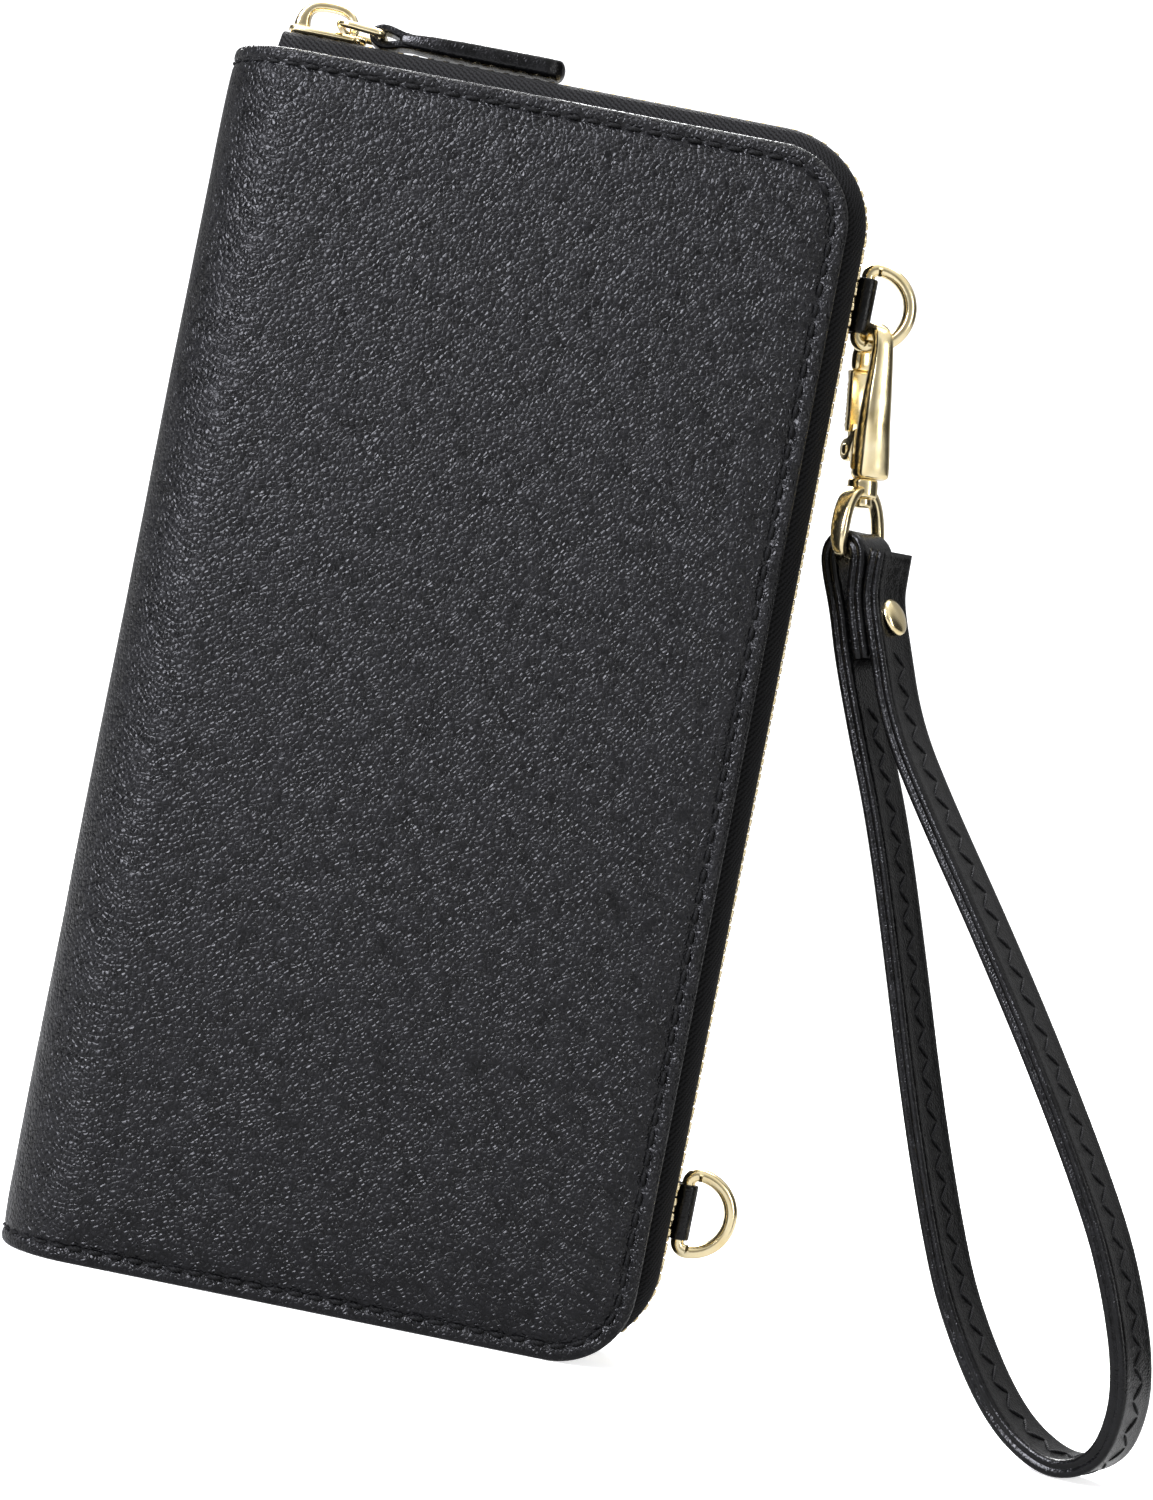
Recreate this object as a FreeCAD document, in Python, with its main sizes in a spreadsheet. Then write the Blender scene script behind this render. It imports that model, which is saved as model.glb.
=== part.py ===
import FreeCAD, Part
import math
import os
import re

import Sketcher
from FreeCAD import Placement, Rotation, Vector

# A zip-around wristlet wallet, standing on the foot of its covers.
# X runs from the rounded spine to the zip, Y from the front cover to the rear one, Z up the long side.
# The origin is at the foot of the rear face, half-way between the spine and the cover's free edge.
# Depths are measured from the rear face towards the front.

SIZES = {
    "cover_width": 107.0,
    "cover_height": 205.0,
    "wallet_depth": 26.0,
    "cover_corner": 13.0,
    "leather": 1.4,
    "board": 1.8,
    "lining": 0.4,
    "turned_edge": 1.4,
    "zip_start": 8.0,
    "zip_bulge": 3.2,
    "zip_recess": 0.6,
    "tape": 0.7,
    "tape_flange": 8.0,
    "tooth_pitch": 2.6,
    "tooth_length": 1.05,
    "tooth_height": 1.8,
    "tooth_root": 1.9,
    "tooth_reach": 1.1,
    "slot_leather": 0.55,
    "slot_count": 4,
    "slot_step": 11.0,
    "slot_margin": 2.0,
    "pocket_depth": 4.0,
    "pocket_wall": 0.9,
    "pocket_margin": 9.0,
    "pocket_gap": 0.5,
    "pocket_tape": 0.5,
    "pocket_tape_width": 6.0,
    "pocket_tooth": 2.0,
    "coin_slider_length": 9.0,
    "coin_slider_width": 5.0,
    "coin_slider_depth": 1.6,
    "coin_slider_top": 14.0,
    "coin_eye": 1.6,
    "coin_pull_length": 18.0,
    "coin_pull_width": 5.0,
    "coin_pull_thickness": 1.0,
    "slider_length": 13.4,
    "slider_plate": 1.0,
    "slider_play": 0.4,
    "slider_wall": 1.0,
    "slider_slot": 1.2,
    "crown_radius": 5.0,
    "crown_band": 0.9,
    "crown_width": 3.2,
    "link_length": 7.4,
    "link_width": 9.8,
    "link_corner": 1.2,
    "link_wire": 1.2,
    "pull_length": 33.0,
    "pull_thickness": 3.4,
    "pull_width": 7.2,
    "bar_offset": 2.1,
    "bar_depth": 8.0,
    "d_height": 13.2,
    "d_reach": 8.1,
    "d_wire": 2.3,
    "d_corner": 1.6,
    "upper_d_drop": 21.7,
    "lower_d_rise": 26.5,
    "tab_leather": 0.6,
    "tab_height": 9.5,
    "running_gap": 0.1,
    "crown_wire": 2.3,
    "hook_radius": 3.2,
    "hook_shift": 3.8,
    "hook_rest": -0.1,
    "hook_length": 22.4,
    "hook_shoulder": 9.0,
    "barrel_radius": 2.9,
    "nose_length": 3.6,
    "gate_thickness": 1.3,
    "gate_width": 3.2,
    "gate_drop": 17.5,
    "gate_inset": 1.9,
    "gate_knuckle": 1.5,
    "ear": 0.8,
    "pin_radius": 0.7,
    "swivel_head": 3.0,
    "swivel_radius": 2.4,
    "post_radius": 1.25,
    "knob_radius": 1.9,
    "knob_height": 1.6,
    "eye_half_width": 6.6,
    "eye_drop": 35.6,
    "eye_wire": 2.0,
    "eye_corner": 1.2,
    "clasp_turn": 65.0,
    "clasp_lean": 6.9,
    "strap_lean": 25.4,
    "strap_forward": 11.5,
    "strap_width": 10.5,
    "strap_thickness": 3.0,
    "strap_length": 158.0,
    "strap_half_loop": 16.2,
    "strap_fold": 3.0,
    "strap_layer": 3.25,
    "strap_tail": 18.0,
    "rivet_drop": 12.3,
    "rivet_cap": 3.25,
    "rivet_dome": 1.3,
    "rivet_post": 1.6,
}

document = FreeCAD.newDocument("WristletWallet")
sheet = document.addObject("Spreadsheet::Sheet", "Sizes")
for row, (alias, value) in enumerate(SIZES.items(), 1):
    sheet.set(f"A{row}", alias.replace("_", " "))
    sheet.set(f"B{row}", str(value))
    sheet.setAlias(f"B{row}", alias)
document.recompute()

nodes = []

# Lines and planes that several pieces share, as formulas in the sheet's words.
SPINE_X = "(-cover_width / 2)"
FLAT_LEFT = "(-cover_width / 2 + wallet_depth / 2)"
EDGE_X = "(cover_width / 2)"
MIDDLE = "(wallet_depth / 2)"
COVER_DEPTH = "(leather + board)"
LINED_DEPTH = "(leather + board + lining)"
TAPE_X = "(cover_width / 2 + zip_bulge)"
TAPE_TOP = "(cover_height + zip_bulge)"
CHAIN_TOP = "(cover_height + zip_bulge - tape / 2)"
ZIP_LEFT = "(-cover_width / 2 + zip_start)"
POCKET_LEFT = "(-cover_width / 2 + leather + pocket_gap)"
POCKET_RIGHT = "(cover_width / 2 - pocket_margin)"


def formula(text):
    """The text with each name of a size turned into its cell."""
    return re.sub(r"[a-z_]+[a-z]", lambda word: "Sizes." + word.group(0), str(text))


def size(text):
    """The value of a formula in the sheet's words, in millimetres or degrees."""
    return float(sheet.evalExpression(formula(text)))


def bind(thing, **properties):
    for name, text in properties.items():
        thing.setExpression(name.replace("__", "."), formula(text))


def place(thing, x="0", y="0", z="0"):
    bind(thing, Placement__Base__x=x, Placement__Base__y=y, Placement__Base__z=z)


def node(thing, label):
    """Names a finished sub-part and puts it on the list of files."""
    thing.Label = label
    nodes.append(thing)
    return thing


def box(x, y, z, length, width, height):
    """A block whose low corner is at x, y, z."""
    block = document.addObject("Part::Box", "Block")
    bind(block, Length=length, Width=width, Height=height)
    place(block, x, y, z)
    return block


def slab(left, right, near, far, low, high):
    """A block between two depths from the rear face."""
    return box(left, f"-({far})", low, f"{right} - {left}", f"{far} - ({near})", f"{high} - ({low})")


def cylinder(radius, height, x, y, z, turn=None):
    rod = document.addObject("Part::Cylinder", "Rod")
    bind(rod, Radius=radius, Height=height)
    if turn:
        rod.Placement = Placement(Vector(), turn)
    place(rod, x, y, z)
    return rod


def cut(base, tool):
    result = document.addObject("Part::Cut", "Cut")
    result.Base = base
    result.Tool = tool
    return result


def fuse(*pieces):
    result = document.addObject("Part::MultiFuse", "Fusion")
    result.Shapes = list(pieces)
    result.Refine = True
    return result


def feature(shape, label, placement=None):
    """A sub-part whose shape comes from Part's own functions."""
    thing = document.addObject("Part::Feature", "Shape")
    thing.Shape = shape
    thing.Placement = placement or Placement()
    return node(thing, label)


def rounded_outline(body, depth, left, right, low, high, radius):
    """A sketch on the XZ plane: square at the spine, with rounded corners at the zip side."""
    sketch = body.newObject("Sketcher::SketchObject", "Outline")
    plane = [p for p in body.Origin.OriginFeatures if p.Role == "XZ_Plane"][0]
    sketch.AttachmentSupport = (plane, "")
    sketch.MapMode = "FlatFace"
    bind(sketch, AttachmentOffset__Base__z=depth)
    west, east, south, north, bend = (size(t) for t in (left, right, low, high, radius))
    inner, upper, lower = east - bend, north - bend, south + bend
    sketch.addGeometry(Part.LineSegment(Vector(west, south, 0), Vector(inner, south, 0)))
    corner = Part.Circle(Vector(inner, lower, 0), Vector(0, 0, 1), bend)
    sketch.addGeometry(Part.ArcOfCircle(corner, -math.pi / 2, 0))
    sketch.addGeometry(Part.LineSegment(Vector(east, lower, 0), Vector(east, upper, 0)))
    corner = Part.Circle(Vector(inner, upper, 0), Vector(0, 0, 1), bend)
    sketch.addGeometry(Part.ArcOfCircle(corner, 0, math.pi / 2))
    sketch.addGeometry(Part.LineSegment(Vector(inner, north, 0), Vector(west, north, 0)))
    sketch.addGeometry(Part.LineSegment(Vector(west, north, 0), Vector(west, south, 0)))
    for first in range(4):
        sketch.addConstraint(Sketcher.Constraint("Tangent", first, 2, first + 1, 1))
    sketch.addConstraint(Sketcher.Constraint("Coincident", 4, 2, 5, 1))
    sketch.addConstraint(Sketcher.Constraint("Coincident", 5, 2, 0, 1))
    sketch.addConstraint(Sketcher.Constraint("Horizontal", 0))
    sketch.addConstraint(Sketcher.Constraint("Vertical", 2))
    sketch.addConstraint(Sketcher.Constraint("Horizontal", 4))
    sketch.addConstraint(Sketcher.Constraint("Vertical", 5))
    sketch.addConstraint(Sketcher.Constraint("Equal", 1, 3))
    drivers = (
        ("bend", Sketcher.Constraint("Radius", 1, bend), radius),
        ("west", Sketcher.Constraint("DistanceX", -1, 1, 0, 1, west), left),
        ("south", Sketcher.Constraint("DistanceY", -1, 1, 0, 1, south), low),
        ("east", Sketcher.Constraint("DistanceX", -1, 1, 2, 1, east), right),
        ("north", Sketcher.Constraint("DistanceY", -1, 1, 4, 1, north), high),
    )
    for name, constraint, text in drivers:
        index = sketch.addConstraint(constraint)
        sketch.renameConstraint(index, name)
        sketch.setExpression(f"Constraints.{name}", formula(text))
    return sketch


def pad(body, depth, thickness, outline):
    """Adds a flat layer that starts at a depth from the rear face."""
    layer = body.newObject("PartDesign::Pad", "Layer")
    layer.Profile = rounded_outline(body, depth, *outline)
    bind(layer, Length=thickness)
    return layer


def pocket(body, depth, thickness, outline):
    """Takes a flat layer away."""
    hollow = body.newObject("PartDesign::Pocket", "Hollow")
    hollow.Profile = rounded_outline(body, depth, *outline)
    hollow.Reversed = True
    bind(hollow, Length=thickness)
    return hollow


def new_body():
    return document.addObject("PartDesign::Body", "Body")


def side(front, depth, thickness):
    """The depth where a layer starts: counted from the rear face, or from the front one."""
    return f"wallet_depth - ({depth}) - ({thickness})" if front else depth


COVER = (FLAT_LEFT, EDGE_X, "0", "cover_height", "cover_corner")
BOARD = (
    FLAT_LEFT,
    f"{EDGE_X} - turned_edge",
    "turned_edge",
    "cover_height - turned_edge",
    "cover_corner - turned_edge",
)
INSIDE = (
    FLAT_LEFT,
    f"{EDGE_X} - tape_flange",
    "tape_flange",
    "cover_height - tape_flange",
    "cover_corner - tape_flange",
)


def cover_leather(front, label):
    """The outer leather: a flat panel turned in at its three free edges, and half of the spine."""
    body = new_body()
    pad(body, side(front, "0", COVER_DEPTH), COVER_DEPTH, COVER)
    pocket(body, side(front, "leather", "board"), "board", BOARD)
    outer = cylinder(MIDDLE, "cover_height", FLAT_LEFT, f"-{MIDDLE}", "0")
    inner = cylinder(f"{MIDDLE} - leather", "cover_height", FLAT_LEFT, f"-{MIDDLE}", "0")
    for tube in (outer, inner):
        tube.Angle = 90
        tube.Placement.Rotation = Rotation(Vector(0, 0, 1), 180 if front else 90)
    return node(fuse(body, cut(outer, inner)), label)


def flat_layer(front, depth, thickness, outline, label):
    body = new_body()
    pad(body, side(front, depth, thickness), thickness, outline)
    return node(body, label)


def card_slots(front, name):
    """Stepped strips: the deepest reaches furthest towards the zip, and each holds a row of cards."""
    for step in range(int(size("slot_count"))):
        right = f"{EDGE_X} - tape_flange - slot_margin - slot_step * {step}"
        depth = side(front, f"{LINED_DEPTH} + slot_leather * {step}", "slot_leather")
        strip = slab(
            f"({FLAT_LEFT} + slot_margin)",
            f"({right})",
            depth,
            f"({depth}) + slot_leather",
            "tape_flange + slot_margin",
            "cover_height - tape_flange - slot_margin",
        )
        node(strip, f"{name}_card_slot_{step + 1}")


def zip_tape(front, label):
    """Woven tape: a flange sewn inside the cover's edge, and a wall that bulges out to the teeth."""
    outer = (
        ZIP_LEFT,
        TAPE_X,
        "zip_recess",
        TAPE_TOP,
        "cover_corner + zip_bulge",
    )
    inner = (
        f"{ZIP_LEFT} - tape",
        f"{TAPE_X} - tape",
        "zip_recess + tape",
        f"{TAPE_TOP} - tape",
        "cover_corner + zip_bulge - tape",
    )
    hole = (f"{ZIP_LEFT} - tape",) + INSIDE[1:]
    reach = f"({MIDDLE} - tooth_root - {COVER_DEPTH})"
    body = new_body()
    pad(body, side(front, COVER_DEPTH, reach), reach, outer)
    wall_depth = f"({COVER_DEPTH} + tape)"
    wall = f"({reach} - tape)"
    pocket(body, side(front, wall_depth, wall), wall, inner)
    pocket(body, side(front, COVER_DEPTH, "tape"), "tape", hole)
    return node(body, label)


def zip_stations():
    """Points along the middle of the zip, with their headings, from the spine's top to its foot."""
    left, right = size(ZIP_LEFT), size(f"{TAPE_X} - tape / 2")
    top, foot = size(CHAIN_TOP), size("zip_recess + tape / 2")
    bend = size("cover_corner + zip_bulge - tape / 2")
    lengths = (right - bend - left, bend * math.pi / 2, top - foot - 2 * bend)
    marks = [sum((lengths + lengths[1::-1])[:count]) for count in range(6)]
    half = size("tooth_pitch") / 2
    stations = []
    for count in range(1, int(marks[5] / half)):
        run = count * half
        if run < marks[1]:
            spot, heading = (left + run, top), 0.0
        elif run < marks[2]:
            heading = (run - marks[1]) / bend
            spot = (right - bend + bend * math.sin(heading), top - bend + bend * math.cos(heading))
        elif run < marks[3]:
            spot, heading = (right, top - bend - (run - marks[2])), math.pi / 2
        elif run < marks[4]:
            heading = math.pi / 2 + (run - marks[3]) / bend
            spot = (right - bend + bend * math.sin(heading), foot + bend + bend * math.cos(heading))
        else:
            spot, heading = (right - bend - (run - marks[4]), foot), math.pi
        stations.append((count, spot, heading))
    return stations


def zip_teeth(front, label):
    """One row of teeth. The rows take turns along the zip, and the front one starts past the slider."""
    length, height = size("tooth_length"), size("tooth_height")
    span = size("tooth_root + tooth_reach")
    start = -size(MIDDLE) - (size("tooth_root") if front else size("tooth_reach"))
    slider_end = size(ZIP_LEFT + " + slider_length + tooth_pitch")
    teeth = []
    for count, (x, z), heading in zip_stations():
        in_slider = z > size("cover_height") and x < slider_end
        if count % 2 == int(front) and not (front and in_slider):
            tooth = Part.makeBox(length, span, height, Vector(-length / 2, start, -height / 2))
            tooth.Placement = Placement(Vector(x, 0, z), Rotation(Vector(0, 1, 0), math.degrees(heading)))
            teeth.append(tooth)
    return feature(Part.makeCompound(teeth), label)


def d_ring_tab(label, middle):
    """A leather tab folded round the ring's bar and sewn into the edge of the rear cover."""
    bar_x, bar_y = f"({TAPE_X} + bar_offset)", "-bar_depth"
    hole = "(d_wire / 2 + running_gap)"
    loop = f"({hole} + tab_leather)"
    low = f"({middle} - tab_height / 2)"
    tail_x = f"({bar_x} - {loop})"
    tail_depth = "(leather + board - tab_leather - running_gap)"
    tube = cylinder(loop, "tab_height", bar_x, bar_y, low)
    tail = slab(
        tail_x, f"({tail_x} + tab_leather)", f"{tail_depth} - tab_leather", "bar_depth", low, f"{low} + tab_height"
    )
    root = slab(
        EDGE_X, f"({tail_x} + tab_leather)", f"{tail_depth} - tab_leather", tail_depth, low, f"{low} + tab_height"
    )
    bore = cylinder(hole, "tab_height", bar_x, bar_y, low)
    return node(cut(fuse(tube, tail, root), bore), label)


def ring_wire(corners, bends):
    """A closed wire through the corners, each rounded by its own bend radius."""
    edges, ends = [], []
    for index, corner in enumerate(corners):
        before, after = corners[index - 1], corners[(index + 1) % len(corners)]
        inward, outward = (before - corner).normalize(), (after - corner).normalize()
        half_angle = inward.getAngle(outward) / 2
        reach = bends[index] / math.tan(half_angle)
        middle = (inward + outward).normalize()
        centre = corner + middle * (bends[index] / math.sin(half_angle))
        start, stop = corner + inward * reach, corner + outward * reach
        edges.append(Part.Arc(start, centre - middle * bends[index], stop).toShape())
        ends.append((start, stop))
    for index, (start, stop) in enumerate(ends):
        gap = ends[(index + 1) % len(ends)][0]
        if stop.distanceToPoint(gap) > 1e-6:
            edges.append(Part.LineSegment(stop, gap).toShape())
    return Part.Wire(Part.__sortEdges__(edges))


def bent_wire(path, radius):
    """A round bar that follows a wire."""
    edge = path.Edges[0]
    start = edge.valueAt(edge.FirstParameter)
    heading = edge.tangentAt(edge.FirstParameter)
    section = Part.Wire(Part.Circle(start, heading, radius).toShape())
    return path.makePipeShell([section], True, False)


def d_ring(label, middle):
    """A D-shaped wire ring: its straight bar stands in the tab."""
    half, reach = size("d_height / 2"), size("d_reach")
    corners = [Vector(0, 0, -half), Vector(0, 0, half), Vector(reach, 0, half), Vector(reach, 0, -half)]
    small, large = size("d_corner"), half - 0.01
    path = ring_wire(corners, [small, small, large, large])
    spot = Vector(size(f"{TAPE_X} + bar_offset"), -size("bar_depth"), size(middle))
    return feature(bent_wire(path, size("d_wire / 2")), label, Placement(spot, Rotation()))


def coin_pocket():
    """The middle leaf: a flat pocket, open towards the zip side."""
    low, high = "pocket_margin", "cover_height - pocket_margin"
    near, far = f"({MIDDLE} - pocket_depth / 2)", f"({MIDDLE} + pocket_depth / 2)"
    leaf = slab(POCKET_LEFT, POCKET_RIGHT, near, far, low, high)
    hollow = slab(
        f"({POCKET_LEFT} + pocket_wall)",
        f"({POCKET_RIGHT} + pocket_wall)",
        f"{near} + pocket_wall",
        f"{far} - pocket_wall",
        f"{low} + pocket_wall",
        f"{high} - pocket_wall",
    )
    node(cut(leaf, hollow), "coin_pocket")


def coin_zip():
    """Two tapes sewn inside the pocket's mouth, the teeth between them, a slider and its pull."""
    low, high = "pocket_margin + pocket_wall", "cover_height - pocket_margin - pocket_wall"
    inner = "(pocket_depth / 2 - pocket_wall)"
    left, right = f"({POCKET_RIGHT} - pocket_tape_width)", f"({POCKET_RIGHT} + pocket_tape)"
    for name, sign in (("rear", "-"), ("front", "+")):
        near = f"({MIDDLE} {sign} {inner})"
        far = f"({MIDDLE} {sign} ({inner} - pocket_tape))"
        pair = (near, far) if sign == "-" else (far, near)
        node(slab(left, right, *pair, low, high), f"coin_tape_{name}")
    half = size(f"{inner} - pocket_tape")
    tooth, length = size("pocket_tooth"), size("tooth_length")
    x, y = size(f"{right} - pocket_tooth / 2"), -size(MIDDLE) - half
    bottom, top, pitch = size(low), size(high), size("tooth_pitch / 2")
    count = int((top - bottom) / pitch)
    heights = [bottom + (index + 0.5) * pitch for index in range(count - 1)]
    teeth = [Part.makeBox(tooth, 2 * half, length, Vector(x, y, z - length / 2)) for z in heights]
    feature(Part.makeCompound(teeth), "coin_zip_teeth")


def coin_slider():
    """A flat slider on the pocket's zip, with a lug for its pull."""
    x = f"({POCKET_RIGHT} + pocket_tape + pocket_tooth / 2 + slider_play)"
    z = "(cover_height - pocket_margin - coin_slider_top)"
    depth = "(wallet_depth / 2)"
    plate = slab(
        x,
        f"({x} + coin_slider_depth)",
        f"{depth} - coin_slider_width / 2",
        f"{depth} + coin_slider_width / 2",
        z,
        f"{z} + coin_slider_length",
    )
    lug = slab(
        f"({x} + coin_slider_depth)",
        f"({x} + coin_slider_depth + 2 * coin_eye)",
        f"{depth} - coin_eye / 2",
        f"{depth} + coin_eye / 2",
        f"{z} + coin_slider_length / 2",
        f"{z} + coin_slider_length / 2 + 2 * coin_eye",
    )
    quarter = Rotation(Vector(1, 0, 0), 90)
    bore = cylinder(
        "coin_eye / 2 + running_gap",
        "coin_eye",
        f"({x} + coin_slider_depth + coin_eye)",
        f"-({depth} - coin_eye / 2)",
        f"({z} + coin_slider_length / 2 + coin_eye)",
        quarter,
    )
    node(cut(fuse(plate, lug), bore), "coin_slider")


def coin_pull():
    """A flat pull hung on the lug by a pin across its fork."""
    x = f"({POCKET_RIGHT} + pocket_tape + pocket_tooth / 2 + slider_play + coin_slider_depth + coin_eye)"
    z = "(cover_height - pocket_margin - coin_slider_top + coin_slider_length / 2 + coin_eye)"
    depth = "(wallet_depth / 2)"
    half, cheek = "coin_pull_width / 2", "(coin_eye / 2 + 2 * running_gap)"
    tongue = slab(
        f"({x} - coin_pull_thickness / 2)",
        f"({x} + coin_pull_thickness / 2)",
        f"{depth} - {half}",
        f"{depth} + {half}",
        f"{z} - coin_pull_length",
        f"{z} + coin_eye / 2",
    )
    fork = slab(
        f"({x} - 2 * coin_pull_thickness)",
        f"({x} + 2 * coin_pull_thickness)",
        f"{depth} - {cheek}",
        f"{depth} + {cheek}",
        f"{z} - 1.5 * coin_eye",
        f"{z} + coin_eye",
    )
    quarter = Rotation(Vector(1, 0, 0), 90)
    pin = cylinder("coin_eye / 2", "coin_pull_width", x, f"-({depth} - {half})", z, quarter)
    node(fuse(cut(tongue, fork), pin), "coin_pull")


def zip_slider():
    """Upper and lower wings that guide both rows of teeth, with a crown for the link."""
    left = ZIP_LEFT
    right = f"({ZIP_LEFT} + slider_length)"
    clear = "(tooth_height / 2 + running_gap + slider_play / 8)"
    inner = "(tooth_root + slider_play)"
    outer = f"({inner} + slider_wall)"
    wings = []
    for sign in ("+", "-"):
        faces = [f"({CHAIN_TOP} {sign} {gap})" for gap in (clear, f"({clear} + slider_plate)")]
        lips = [f"({CHAIN_TOP} {sign} slider_slot / 2)", f"({CHAIN_TOP} {sign} ({clear} + slider_plate))"]
        if sign == "-":
            faces.reverse()
            lips.reverse()
        plate = slab(left, right, f"{MIDDLE} - {inner}", f"{MIDDLE} + {inner}", *faces)
        rear = slab(left, right, f"{MIDDLE} - {outer}", f"{MIDDLE} - {inner}", *lips)
        front = slab(left, right, f"{MIDDLE} + {inner}", f"{MIDDLE} + {outer}", *lips)
        wings.append([plate, rear, front])
    centre = f"({ZIP_LEFT} + slider_length / 2)"
    seat = f"({CHAIN_TOP} + {clear} + slider_plate)"
    rise = Rotation(Vector(1, 0, 0), 90)
    y = f"(-{MIDDLE} + crown_width / 2)"
    arch = cylinder("crown_radius", "crown_width", centre, y, seat, rise)
    arch.Angle = 180
    gap = cylinder("crown_radius - crown_band", "crown_width", centre, y, seat, rise)
    upper = fuse(*wings[0], cut(arch, gap))
    lower = fuse(*wings[1])
    document.recompute()
    both = document.addObject("Part::Compound", "Wings")
    both.Links = [upper, lower]
    node(both, "zip_slider")


def link_spot():
    """The middle of the wire link, where it lies round the crown's far leg."""
    seat = f"{CHAIN_TOP} + tooth_height / 2 + running_gap + slider_play / 8 + slider_plate"
    x = f"{ZIP_LEFT} + slider_length / 2 + crown_radius - 2 * crown_band + link_length / 2 - link_wire"
    return Vector(size(x), -size(MIDDLE), size(f"{seat} + link_wire / 2 + slider_play"))


def pull_link():
    """A rectangular wire link through the crown."""
    length, width, bend = size("link_length / 2"), size("link_width / 2"), size("link_corner")
    corners = [Vector(x, y, 0) for x, y in ((-length, -width), (length, -width), (length, width), (-length, width))]
    shape = bent_wire(ring_wire(corners, [bend] * 4), size("link_wire / 2"))
    feature(shape, "pull_link", Placement(link_spot(), Rotation()))


def pull_tab():
    """A leather strip folded over the end of the link and stitched flat, with a rounded end."""
    wire, thick, width = size("link_wire / 2"), size("pull_thickness"), size("pull_width")
    length, hole = size("pull_length"), wire + 1.5 * size("running_gap")
    strip = Part.makeBox(length - width / 2, width, thick, Vector(0, -width / 2, -thick / 2))
    strip = strip.fuse(Part.makeCylinder(thick / 2, width, Vector(0, -width / 2, 0), Vector(0, 1, 0)))
    tip = Part.makeCylinder(width / 2, thick, Vector(length - width / 2, 0, -thick / 2))
    bore = Part.makeCylinder(hole, width, Vector(0, -width / 2, 0), Vector(0, 1, 0))
    shape = strip.fuse(tip).cut(bore).removeSplitter()
    spot = link_spot() + Vector(size("link_length / 2"), 0, 0)
    feature(shape, "pull_tab", Placement(spot, Rotation()))


def direction(lean, forward):
    """A hanging direction: down, leaning to the zip side and towards the front."""
    side_way, front_way = math.radians(lean), math.radians(forward)
    flat = math.cos(front_way)
    return Vector(math.sin(side_way) * flat, -math.sin(front_way), -math.cos(side_way) * flat)


def hanging(spot, down, across):
    """A frame whose Z points up against a hanging direction and whose Y lies across it."""
    up = down * -1
    return Placement(spot, Rotation(across.cross(up), across, up, "ZYX"))


def clasp_frames():
    """Frames of the hook, the eye and the strap. The eye's bar lies square to clasp and strap."""
    clasp_down = direction(size("clasp_lean"), 0.0)
    strap_down = direction(size("strap_lean"), size("strap_forward"))
    across = strap_down.cross(clasp_down).normalize()
    ring_foot = size("cover_height - upper_d_drop - d_height / 2")
    spot = Vector(size(f"{TAPE_X} + bar_offset + hook_shift"), -size("bar_depth"), ring_foot - size("hook_rest"))
    turn = Rotation(Vector(0, 0, 1), -size("clasp_turn"))
    hook = Placement(spot, Rotation(Vector(0, 1, 0), -size("clasp_lean")) * turn)
    eye = hanging(spot, clasp_down, across)
    strap = hanging(spot + clasp_down * size("eye_drop"), strap_down, across)
    return hook, eye, strap


def disc(radius, x, z):
    return Part.Wire(Part.Circle(Vector(x, 0, z), Vector(0, 0, 1), radius).toShape())


def back_sections(wire, bend, barrel, shoulder, bottom):
    """Radius, offset and height of the discs that shape the hook's back, from crown to barrel."""
    steps = 6
    for step in range(steps + 1):
        share = step / steps
        height = bottom * share
        swell = (1 - math.cos(math.pi * share)) / 2
        drift = max(0.0, (shoulder - height) / (shoulder - bottom))
        yield wire + (barrel - wire) * swell, bend * (1 - drift**2) if drift else bend, height


def clasp_hook(frame):
    """The cast body: crown, nose, tapering back and barrel, the ears of the gate and the swivel post."""
    wire, bend, bottom = size("crown_wire / 2"), size("hook_radius"), -size("hook_length")
    shoulder, barrel = -size("hook_shoulder"), size("barrel_radius")
    crown = Part.Face(disc(wire, bend, 0.0)).revolve(Vector(), Vector(0, -1, 0), 180)
    nose = Part.makeCylinder(wire, size("nose_length"), Vector(-bend, 0, 0), Vector(0, 0, -1))
    back = Part.makeLoft([disc(*section) for section in back_sections(wire, bend, barrel, shoulder, bottom)], True, True)
    pivot_x, pivot_z = -size("gate_inset"), -size("gate_drop")
    half = size("gate_width / 2 + running_gap")
    knuckle, ear = size("gate_knuckle"), size("ear")
    body = crown.fuse([nose, back])
    for y in (-half - ear, half):
        cheek = Part.makeBox(-pivot_x, ear, -bottom + pivot_z + knuckle, Vector(pivot_x, y, bottom))
        boss = Part.makeCylinder(knuckle, ear, Vector(pivot_x, y, pivot_z), Vector(0, 1, 0))
        body = body.fuse([cheek, boss])
    room = knuckle + size("2 * running_gap")
    slot = Part.makeCylinder(room, 2 * half, Vector(pivot_x, -half, pivot_z), Vector(0, 1, 0))
    sweep = Part.makeBox(room, 2 * half, bend + room, Vector(pivot_x, -half, pivot_z))
    pin_hole = Part.makeCylinder(size("pin_radius"), 9, Vector(pivot_x, -4.5, pivot_z), Vector(0, 1, 0))
    post_end = bottom - size("swivel_head + 3 * running_gap")
    post = Part.makeCylinder(size("post_radius"), bottom - post_end, Vector(0, 0, bottom), Vector(0, 0, -1))
    knob = Part.makeCylinder(size("knob_radius"), size("knob_height"), Vector(0, 0, post_end), Vector(0, 0, -1))
    body = body.cut(slot).cut(sweep).cut(pin_hole).fuse([post, knob])
    return feature(body.removeSplitter(), "clasp_hook", frame)


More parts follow.
